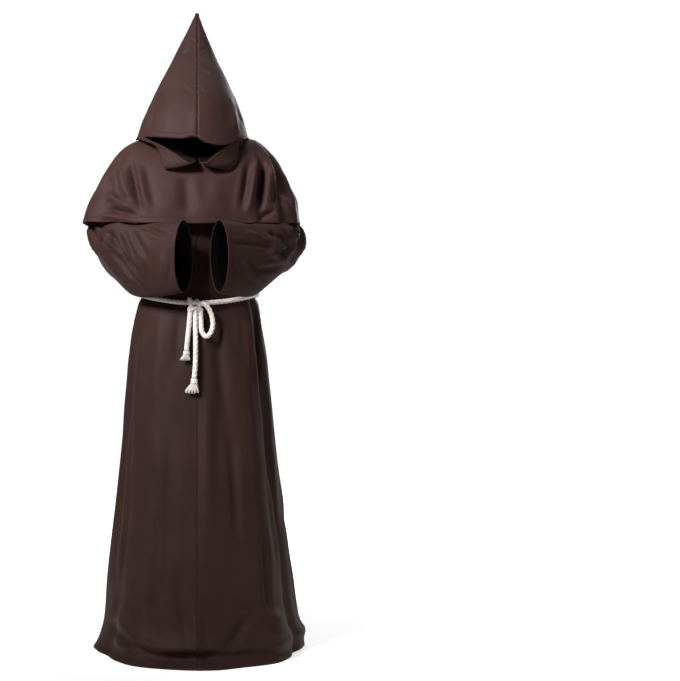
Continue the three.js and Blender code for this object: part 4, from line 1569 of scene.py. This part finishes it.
@dataclass
class Yarn:
    """Points, faces and flat places of one or more tubes, gathered into one mesh."""

    places: list[Array] = field(default_factory=list)
    faces: list[list[int]] = field(default_factory=list)
    flat: list[tuple[float, float]] = field(default_factory=list)
    count: int = 0

    def tube(self, line: Array, radii: Array, sides: int, lobes: int = 0, lay: float = 1.0,
             groove: float = 0.0) -> None:
        """Add a tube with closed ends round a line.

        Args:
            line: Points of the centre line.
            radii: Radius at each point.
            sides: Points in a ring.
            lobes: Strands that show round the rope, or 0 for a round tube.
            lay: Length in which a strand goes once round.
            groove: Depth of the grooves between the strands, as a share of the radius.
        """
        run = np.gradient(line, axis=0)
        run /= np.linalg.norm(run, axis=1, keepdims=True)
        length = run_lengths(line)
        side = np.cross(run[0], [0.0, 1.0, 0.0] if abs(run[0][1]) < 0.8 else [1.0, 0.0, 0.0])
        angles = np.arange(sides) * 2 * math.pi / sides
        shape = 1.0 if not lobes else 1 - groove * (1 - np.abs(np.cos(lobes * angles / 2)) ** 0.7)
        rings = []
        for index, centre in enumerate(line):
            side = side - run[index] * (side @ run[index])
            side /= np.linalg.norm(side)
            other = np.cross(run[index], side)
            twist = angles + (2 * math.pi * length[index] / lay if lobes else 0.0)
            reach = (radii[index] * shape * np.ones(sides))[:, None]
            rings.append(centre + reach * (np.cos(twist)[:, None] * side + np.sin(twist)[:, None] * other))
        self.places.append(np.concatenate(rings))
        width = 2 * math.pi * float(np.mean(radii)) / sides * MM
        for ring in range(len(line) - 1):
            first = self.count + ring * sides
            over = first + sides
            low, high = length[ring] * MM, length[ring + 1] * MM
            for place in range(sides):
                after = (place + 1) % sides
                self.faces.append([first + place, first + after, over + after, over + place])
                self.flat += [(place * width, low), ((place + 1) * width, low),
                              ((place + 1) * width, high), (place * width, high)]
        last = self.count + (len(line) - 1) * sides
        self.faces.append([self.count + place for place in reversed(range(sides))])
        self.faces.append([last + place for place in range(sides)])
        self.flat += [(0.0, 0.0)] * (2 * sides)
        self.count += len(line) * sides

    def build(self, name: str, finish: RopeFinish | ClothFinish) -> bpy.types.Object:
        """Make the object."""
        return make_object(name, np.concatenate(self.places), self.faces, np.array(self.flat), None, finish)


# Frayed ends: points and number of the binding's turns, angle from yarn to yarn, distance between
# a yarn's points, and its radius at shares of its length.
BINDING_POINTS = 22
BINDING_TURNS = 4
GOLDEN_ANGLE = 2.39996
YARN_STEP = 4.0
YARN_RADII = ([0, 0.7, 1], [0.95, 0.9, 0.4])


@dataclass
class Tuft:
    """Frayed end of a rope: a bound head and loose yarns.

    Attributes:
        name: Name of the piece.
        node: Node that it replaces.
        top: Where the rope ends, in millimetres.
        head: Radius of the bound head.
        head_length: Length of the head.
        reach: Half width of the loose yarns at their tips.
        lean: Sideways lean of the tips.
        length: Length of the loose yarns.
        count: Number of yarns.
        seed: Seed of the yarns' unevenness.
        locks: Locks into which the yarns gather.
        gather: Share by which a yarn's tip moves to its lock.
    """

    name: str
    node: str
    top: Point
    head: float
    head_length: float
    reach: float
    lean: float
    length: float
    count: int = 150
    seed: int = 1
    locks: int = 5
    gather: float = 0.55

    def binding(self, yarn: Yarn, top: Array) -> None:
        """Add the turns of thread that bind the head.

        Args:
            yarn: Mesh that they are added to.
            top: Where the rope ends.
        """
        angles = np.linspace(0, 2 * math.pi * 0.98, BINDING_POINTS)
        ring = np.stack([np.cos(angles), np.sin(angles), angles * 0.22], axis=1) * [self.head, self.head, 1]
        for turn in range(BINDING_TURNS):
            height = -self.head_length * (0.62 + 0.1 * turn)
            yarn.tube(top + [0, 0, height] + ring, np.full(BINDING_POINTS, 0.85), 6)

    def yarn_route(self, index: int, top: Array, rng: random.Random) -> list[Array]:
        """Route of one loose yarn from inside the head to its tip.

        Args:
            index: Number of the yarn.
            top: Where the rope ends.
            rng: Source of its unevenness.

        Returns:
            Points in millimetres.
        """
        angle = index * GOLDEN_ANGLE
        out = math.sqrt((index + 0.5) / self.count)
        x, y = out * math.cos(angle), out * math.sin(angle)
        lock = (math.floor((x + 1) / 2 * self.locks) + 0.5) / self.locks * 2 - 1
        side = (x + (lock - x) * self.gather) * self.reach * rng.uniform(0.92, 1.08)
        tip = np.array([side + self.lean, y * self.head * 0.55 - 1.0, 0.0])
        long = self.length * rng.uniform(0.86, 1.02) * (1 - 0.08 * out)
        tie = np.array([x, y, 0]) * self.head * 0.8
        bulge = np.array([x, y, 0]) * self.head * 1.02
        deep = self.head_length
        return [
            top + bulge * 0.75 + [0, 0, 1],
            top + bulge + [0, 0, -deep * 0.35],
            top + tie + [0, 0, -deep * 0.8],
            top + tie + (tip - tie) * 0.42 + [rng.uniform(-1, 1), 0, -deep - long * 0.3],
            top + tie + (tip - tie) * 0.8 + [rng.uniform(-1.5, 1.5), 0, -deep - long * 0.68],
            top + tip + [rng.uniform(-1, 1), rng.uniform(-0.6, 0.6), -deep - long],
        ]

    def build(self) -> bpy.types.Object:
        """Make the tuft.

        Returns:
            The object.
        """
        rng = random.Random(self.seed)
        yarn = Yarn()
        top = np.array(self.top, dtype=float)
        self.binding(yarn, top)
        for index in range(self.count):
            line = rope_line(self.yarn_route(index, top, rng), YARN_STEP)
            yarn.tube(line, np.interp(np.linspace(0, 1, len(line)), *YARN_RADII), 4)
        return dress(yarn.build(self.name, COTTON), [self.node])


@dataclass
class RopeBelt:
    """White rope: the part round the waist, the knot, the bow's loop and the two free ends.

    Attributes:
        radius: Radius of the rope in millimetres.
        lay: Length in which a strand goes once round the rope.
        groove: Depth of the grooves between the strands.
        loop_length: Real length of the bow's loop, in metres; not used.
        short_length: Real length of the shorter free end; not used.
        long_length: Real length of the longer free end; not used.
        strands: Strands of the rope.
        sides: Points round the rope.
        knot_sides: Points round the rope in the knot.
        step: Distance between points along the rope, in millimetres.
        waist_step: The same round the waist.
        waist_gap: Distance of the rope from the robe's section.
        waist_forward: How far it comes forward to the knot.
        wrap_thinner: How much thinner the rope is in the knot's wraps.
    """

    radius: float = 7.0
    lay: float = 40.0
    groove: float = 0.3
    loop_length: float = 0.211
    short_length: float = 0.126
    long_length: float = 0.198
    strands: int = 3
    sides: int = 24
    knot_sides: int = 20
    step: float = 1.6
    waist_step: float = 1.8
    waist_gap: float = 2.0
    waist_forward: float = 10.0
    wrap_thinner: float = 0.4

    def strand_tube(self, yarn: Yarn, line: Array, radius: float, sides: int) -> None:
        """Add a length of laid rope to a mesh.

        Args:
            yarn: The mesh.
            line: Points of the rope's centre line.
            radius: Radius of the rope.
            sides: Points round it.
        """
        yarn.tube(line, np.full(len(line), radius), sides, self.strands, self.lay, self.groove)

    def rope(self, name: str, line: Array, node: str) -> bpy.types.Object:
        """Make one piece of rope along a line.

        Args:
            name: Name of the piece.
            line: Points of its centre line.
            node: Node that it replaces.

        Returns:
            The object.
        """
        yarn = Yarn()
        self.strand_tube(yarn, line, self.radius, self.sides)
        return dress(yarn.build(name, COTTON), [node])

    def cord(self, name: str, node: str, route: Sequence[Point]) -> bpy.types.Object:
        """Args:
            name: Name of the piece.
            node: Node that it replaces.
            route: Its route in millimetres, knot first.

        Returns:
            The object.
        """
        made = self.rope(name, rope_line(route, self.step), node)
        return made

    def waist(self) -> bpy.types.Object:
        """Make the part that is held round the waist.

        Returns:
            The object.
        """
        ring = robe_surface(np.array([WAIST_ROW]), WAIST_ANGLES[None, :])[0]
        cosine = np.cos(np.radians(WAIST_ANGLES))
        near_knot = ease((cosine - WAIST_NEAR_KNOT) / (1 - WAIST_NEAR_KNOT))
        out = ring * [1, 1, 0]
        out /= np.linalg.norm(out, axis=1, keepdims=True)
        away = self.radius + self.waist_gap + self.waist_forward * near_knot
        route = ring + out * away[:, None]
        return self.rope("waist_rope", rope_line(route.tolist(), self.waist_step), "rope_belt")

    def knot(self) -> bpy.types.Object:
        """Make the knot from two wraps round the standing parts and two strands over them.

        Returns:
            The object.
        """
        centre = np.array(KNOT_CENTRE)
        yarn = Yarn()
        turn = np.linspace(*KNOT_TURN, 60) * math.pi
        for height, tilt, half, deep in KNOT_WRAPS:
            side = half * np.cos(turn)
            ring = np.stack([side, deep * np.sin(turn), height + tilt * side], axis=1)
            self.strand_tube(yarn, centre + ring, self.radius - self.wrap_thinner, self.knot_sides)
        for route, thinner in KNOT_STRANDS:
            line = centre + rope_line(route, self.step)
            self.strand_tube(yarn, line, self.radius - thinner, self.knot_sides)
        heart = rope_line(KNOT_HEART, self.step)
        yarn.tube(centre + heart, np.full(len(heart), self.radius), 16)
        return dress(yarn.build("bow_knot", COTTON), ["rope_knot"])

    def build(self) -> None:
        """Make all the rope.

        The free ends with their tufts come first, then the loop, the part round the waist and the knot.
        """
        short = Tuft("short_fray", "tuft_short", (-31.2, -164.5, -582), head=8.6, head_length=9, reach=14.0,
                     lean=-2.5, length=18, count=110, seed=3).build()
        long = Tuft("long_fray", "tuft_long", (-9.2, -178.4, -658), head=9.0, head_length=14, reach=21.0,
                    lean=-6.0, length=28, count=160, seed=5).build()
        self.cord("short_end", "rope_tail_short", TAIL_SHORT_ROUTE)
        self.cord("long_end", "rope_tail_long", TAIL_LONG_ROUTE)
        self.cord("bow_loop", "rope_loop", LOOP_ROUTE)
        self.waist()
        self.knot()


@dataclass
class Cut:
    """Flat size of a sewn piece before it was put together.

    Attributes:
        width: Width of the cut in metres; not used.
        length: Length of the cut; not used.
        area: Area of the cut in square metres.
    """

    width: float
    length: float
    area: float

    def declare(self, piece: bpy.types.Object, rests_on: Sequence[str]) -> None:
        """Log the area of a piece's cloth beside the area of its cut.

        Args:
            piece: The piece.
            rests_on: Nodes that it hangs from; not used.
        """
        area = sum(face.area for face in piece.data.polygons)
        LOG.info("%s: cloth %.3f m2, cut %.3f m2", piece.name, area, self.area)


# How the robe's surface is read where a sleeve could be hidden in it:
# levels, degrees between the columns, and the cloth's own clearance in millimetres.
ROBE_LEVELS = np.linspace(0, 7, 90)
ROBE_TURN = 2.0
ROBE_CLEAR = 0.5


def ring_degrees(columns: int, rows: int) -> Array:
    """Even angles round a piece, the same in every row.

    Args:
        columns: Points in a ring.
        rows: Number of rows.

    Returns:
        Grid of angles.
    """
    return np.broadcast_to(np.arange(columns) * 360.0 / columns, (rows, columns))


@dataclass
class Sleeve:
    """A wide bell sleeve that is held forward, with an open cuff.

    Attributes:
        name: Name of the piece.
        node: Node that it replaces.
        table: Sections along the sleeve.
        found: Its creases.
        cut: Its flat size.
        step: Distance between rows, in millimetres.
        columns: Points in a ring.
        relief: Share by which its creases are deepened.
        waves: Height of its soft unevenness.
    """

    name: str
    node: str
    table: Array
    found: Sequence[Crease]
    cut: Cut = field(default_factory=lambda: Cut(0.62, 0.6, 0.24))
    step: float = 5.0
    columns: int = 110
    relief: float = 2.0
    waves: float = 1.1

    def surface(self, levels: Array, degrees: Array) -> Array:
        """The sleeve's outside."""
        return sleeve_points(self.table, levels, degrees)

    def clear_of_robe(self, points: Array) -> Array:
        """Find the part of the sleeve that isn't hidden in the robe's body.

        Args:
            points: Grid of the sleeve's points.

        Returns:
            Whether the middle of each cell lies outside the robe's own surface.
        """
        middle = (points[:-1] + points[1:] + np.roll(points[:-1], -1, 1) + np.roll(points[1:], -1, 1)) / 4
        angles = np.arange(0, 360, ROBE_TURN)
        robe = robe_surface(ROBE_LEVELS, np.broadcast_to(angles, (len(ROBE_LEVELS), len(angles))))
        reach, height = np.hypot(robe[..., 0], robe[..., 1]), robe[..., 2]
        round_body = np.degrees(np.arctan2(middle[..., 0], -middle[..., 1]))
        column = (np.round(round_body / ROBE_TURN) % len(angles)).astype(int)
        inside = np.zeros(middle.shape[:2], dtype=bool)
        for angle in np.unique(column):
            here = column == angle
            own = np.hypot(middle[here][:, 0], middle[here][:, 1])
            limit = np.interp(middle[here][:, 2], height[::-1, angle], reach[::-1, angle], right=0.0)
            inside[here] = own < limit + ROBE_CLEAR
        inside[len(middle) // 2:] = False
        return ~inside

    def build(self) -> bpy.types.Object:
        """Make the sleeve.

        Returns:
            The object.
        """
        levels = even_levels(self.surface, 0, len(self.table) - 1, self.step, 180.0)
        points = self.surface(levels, ring_degrees(self.columns, len(levels)))
        wall = ClothWall(self.name, points, wraps=True, found=self.found, relief=self.relief,
                         keep=self.clear_of_robe(points), waves=self.waves, seed=len(self.name))
        made = dress(wall.build(ROBE_CLOTH), [self.node])
        self.cut.declare(made, ["robe_front_left", "robe_back"])
        return made


# Levels of a sleeve at which its hollow opens the robe.
ARMHOLE_LEVELS = np.linspace(0, 3, 60)


@dataclass
class Robe:
    """Body of the habit: two front panels and a back panel.

    Attributes:
        step: Distance between rows, in millimetres.
        turn: Degrees between columns.
        seam_gap: Degrees between a panel's edge and its seam.
        relief: Share by which its creases are deepened.
        waves: Height of its soft unevenness.
        groove: Depth of the grooves at its seams.
        pucker: Height of the small puckers beside them.
        armhole: Share of a sleeve's section, squared, inside which the robe is open.
    """

    step: float = 7.0
    turn: float = 1.1
    seam_gap: float = 0.03
    relief: float = 1.5
    waves: float = 1.0
    groove: float = 0.7
    pucker: float = 0.4
    armhole: float = 0.96

    def armholes(self, points: Array) -> Array:
        """Find the cloth round the armholes.

        Args:
            points: Grid of a panel's points.

        Returns:
            Whether the middle of each cell lies outside both sleeves' hollows.
        """
        middle = (points[:-1, :-1] + points[1:, :-1] + points[:-1, 1:] + points[1:, 1:]) / 4
        inside = np.zeros(middle.shape[:2], dtype=bool)
        for table in (SLEEVE_LEFT_SECTIONS, SLEEVE_RIGHT_SECTIONS):
            rows = read_between(table, ARMHOLE_LEVELS)
            for index in range(len(rows) - 1):
                centre, tall, wide = rows[index, 0:3], rows[index, 3:6], rows[index, 6:9]
                run = rows[index + 1, 0:3] - centre
                across = np.cross(tall, wide)
                across /= np.linalg.norm(across)
                off = middle - centre
                near = np.abs(off @ across) < max(abs(run @ across), 0.5) + 1.0
                round_off = (off @ tall / (tall @ tall)) ** 2 + (off @ wide / (wide @ wide)) ** 2
                inside |= near & (round_off < self.armhole)
        return ~inside

    def panel(self, name: str, node: str, first: float, last: float, cut: Cut, seed: int) -> bpy.types.Object:
        """Make one panel between two seams.

        Args:
            name: Name of the piece.
            node: Node that it replaces.
            first: Angle of its first seam in degrees.
            last: Angle of its last seam.
            cut: Its flat size.
            seed: Seed of its soft unevenness.

        Returns:
            The object.
        """
        levels = even_levels(robe_surface, 0, len(ROBE_SECTIONS) - 1, self.step, (first + last) / 2)
        even = seam_angles(first + self.seam_gap, last - self.seam_gap, self.turn)
        angles = np.append(even, last + TUCK_ANGLES)
        points = robe_surface(levels, np.broadcast_to(angles, (len(levels), len(angles))))
        wall = ClothWall(name, points, found=ROBE_CREASES, relief=self.relief, keep=self.armholes(points),
                         waves=self.waves, seed=seed)
        across, up = wall.lengths()
        past = across - across[:, -1 - len(TUCK_ANGLES), None]
        lift = seam_groove(np.minimum(across, np.abs(past)), up, self.groove, self.pucker) + tuck(past)
        made = dress(wall.build(ROBE_CLOTH, lift), [node])
        cut.declare(made, ["rope_belt"])
        return made

    def build(self) -> None:
        """Make the three panels.

        They meet at the seams in front and at both sides.
        """
        front = Cut(0.52, 1.52, 0.5)
        self.panel("front_panel_left", "robe_front_left", -90, 0, front, seed=11)
        self.panel("front_panel_right", "robe_front_right", 0, 90, front, seed=12)
        self.panel("back_panel", "robe_back", 90, 270, Cut(1.02, 1.5, 0.95), seed=13)


@dataclass
class Cape:
    """Shoulder cape that hangs from the neck seam to a rippled hem.

    Attributes:
        step: Distance between rows, in millimetres.
        columns: Points in a ring.
        tuck_share: Size of the seam allowance inside the hood's neck, as a share of the neck.
        tuck_heights: Heights of the allowance's rows over the neck, in millimetres.
        relief: Share by which its creases are deepened.
        waves: Height of its soft unevenness.
        cut: Its flat size.
    """

    step: float = 4.5
    columns: int = 400
    tuck_share: float = 0.97
    tuck_heights: tuple[float, ...] = (10.0, 5.0, 1.5)
    relief: float = 1.5
    waves: float = 0.8
    cut: Cut = field(default_factory=lambda: Cut(1.1, 0.95, 0.45))

    def build(self) -> bpy.types.Object:
        """Make the cape.

        Returns:
            The object.
        """
        levels = even_levels(cape_surface, 0, len(CAPE_SECTIONS) - 1, self.step, 90.0)
        degrees = ring_degrees(self.columns, len(levels))
        points = cape_surface(levels, degrees)
        neck = points[:1] * [self.tuck_share, self.tuck_share, 1.0]
        behind = ease((np.abs(angle_between(degrees[:1], 0.0)) - 60.0) / 60.0)
        rise = np.stack([0 * behind, 0 * behind, behind], axis=-1)
        points = np.concatenate([neck + rise * height for height in self.tuck_heights] + [points])
        wall = ClothWall("shoulder_cape", points, wraps=True, found=CAPE_CREASES, relief=self.relief,
                         waves=self.waves, seed=21)
        made = dress(wall.build(CAPE_CLOTH), ["cape"])
        self.cut.declare(made, ["robe_back", "robe_front_left", "robe_front_right"])
        return made


# A distance in millimetres at which a seam or an edge has no effect.
FAR = 1000.0


@dataclass
class Hood:
    """Pointed hood of two halves with a low brim and rolled edges under it.

    Attributes:
        step: Distance between rows, in millimetres.
        side_columns: Columns between the back seam and the brim's corner.
        brim_columns: Columns between the corner and the front seam.
        seam_columns: Degrees from a seam of the columns beside it.
        side_span: Degrees from the back seam of the first and the last even column of the side.
        brim_end: Share of the brim's width at which its even columns end.
        relief: Share by which its creases are deepened.
        waves: Height of its soft unevenness.
        groove: Depth of the grooves at its seams.
        pucker: Height of the small puckers beside them.
        cut: Flat size of one half.
    """

    step: float = 4.5
    side_columns: int = 84
    brim_columns: int = 40
    seam_columns: tuple[float, ...] = (0.1, 0.8, 1.8, 3.2)
    side_span: tuple[float, float] = (5.0, 130.0)
    brim_end: float = 0.09
    relief: float = 1.25
    waves: float = 0.9
    groove: float = 1.6
    pucker: float = 1.3
    cut: Cut = field(default_factory=lambda: Cut(0.4, 0.58, 0.15))

    def columns(self, levels: Array) -> Array:
        """Angles of one half, from the back seam over the corner to the front seam.

        Args:
            levels: Level of each row.

        Returns:
            Grid of angles, all positive, that stay at the edge in the rows under the brim.
        """
        edge_rows = np.arange(len(HOOD_EDGE_ANGLES))
        edges = np.interp(np.minimum(levels, HOOD_BRIM_ROW), edge_rows, HOOD_EDGE_ANGLES)
        close = np.array(self.seam_columns)
        back = 180.0 - np.concatenate([close, np.linspace(*self.side_span, self.side_columns - len(close))])
        share = (back[None, :] - back[-1]) / (back[0] - back[-1])
        first = edges[:, None] + (back[0] - edges[:, None]) * share
        even = np.linspace(1, self.brim_end, self.brim_columns - len(close))
        front = np.concatenate([even, close[::-1] / HOOD_EDGE_ANGLES[-1]])
        under = levels < HOOD_BRIM_ROW - 1e-6
        second = np.where(under[:, None], edges[:, None], edges[:, None] * front[None, :])
        return np.concatenate([first, second[:, 1:]], axis=1)

    def half(self, name: str, node: str, side: float, seed: int) -> bpy.types.Object:
        """Make one half.

        Args:
            name: Name of the piece.
            node: Node that it replaces.
            side: 1 for the half on +X, -1 for the half on -X.
            seed: Seed of its soft unevenness.

        Returns:
            The object.
        """
        low = even_levels(hood_surface, 0, HOOD_BRIM_ROW, self.step, 90.0 * side)
        high = even_levels(hood_surface, HOOD_BRIM_ROW, len(HOOD_SECTIONS) - 1, self.step, 90.0 * side)[1:]
        levels = np.concatenate([low, high])
        under = levels < HOOD_BRIM_ROW - 1e-6
        degrees = self.columns(levels)
        corner, tucks = self.side_columns - 1, 0
        if side < 0:
            tucks = len(TUCK_ANGLES)
            beyond = 180.0 + np.broadcast_to(TUCK_ANGLES[::-1], (len(levels), tucks))
            after = np.where(under[:, None], degrees[:, -1:], -TUCK_ANGLES[None, :])
            degrees = np.concatenate([beyond, degrees, after], axis=1)
            corner += tucks
        points = hood_surface(levels, side * degrees)
        rows, columns = points.shape[:2]
        keep = np.ones((rows - 1, columns - 1), dtype=bool)
        keep[under[:-1], corner:] = False
        wall = ClothWall(name, points, found=HOOD_CREASES, relief=self.relief, keep=keep, waves=self.waves,
                         seed=seed)
        across, up = wall.lengths()
        before = across[:, tucks, None] - across
        past = np.where(under[:, None], -FAR, across - across[:, -1 - tucks, None])
        away = np.minimum(np.abs(before), np.abs(past))
        brim = np.abs(up - up[int(under.sum())][None, :])
        hem = np.where(np.arange(columns)[None, :] >= corner, brim, FAR)
        free = np.where(under[:, None], across[:, corner, None] - across, FAR)
        lift = seam_groove(away, up, self.groove, self.pucker) + tuck(before) + tuck(past)
        made = wall.build(HOOD_CLOTH, lift, np.minimum(hem, np.abs(free)))
        dress(made, [node])
        self.cut.declare(made, ["cape"])
        return made

    def build(self) -> None:
        """Make both halves."""
        self.half("hood_half_left", "hood_left", -1.0, seed=31)
        self.half("hood_half_right", "hood_right", 1.0, seed=32)


def build_habit() -> None:
    """Build every piece in order.

    The studio comes first, then the rope, the robe, the sleeves, the cape and the hood.
    """
    Studio().build()
    RopeBelt().build()
    Robe().build()
    Sleeve("bell_sleeve_left", "sleeve_left", SLEEVE_LEFT_SECTIONS, SLEEVE_LEFT_CREASES).build()
    Sleeve("bell_sleeve_right", "sleeve_right", SLEEVE_RIGHT_SECTIONS, SLEEVE_RIGHT_CREASES).build()
    Cape().build()
    Hood().build()


def main() -> None:
    """Build the habit."""
    logging.basicConfig(level=logging.INFO, format="%(message)s")
    build_habit()


if __name__ == "__main__":
    main()
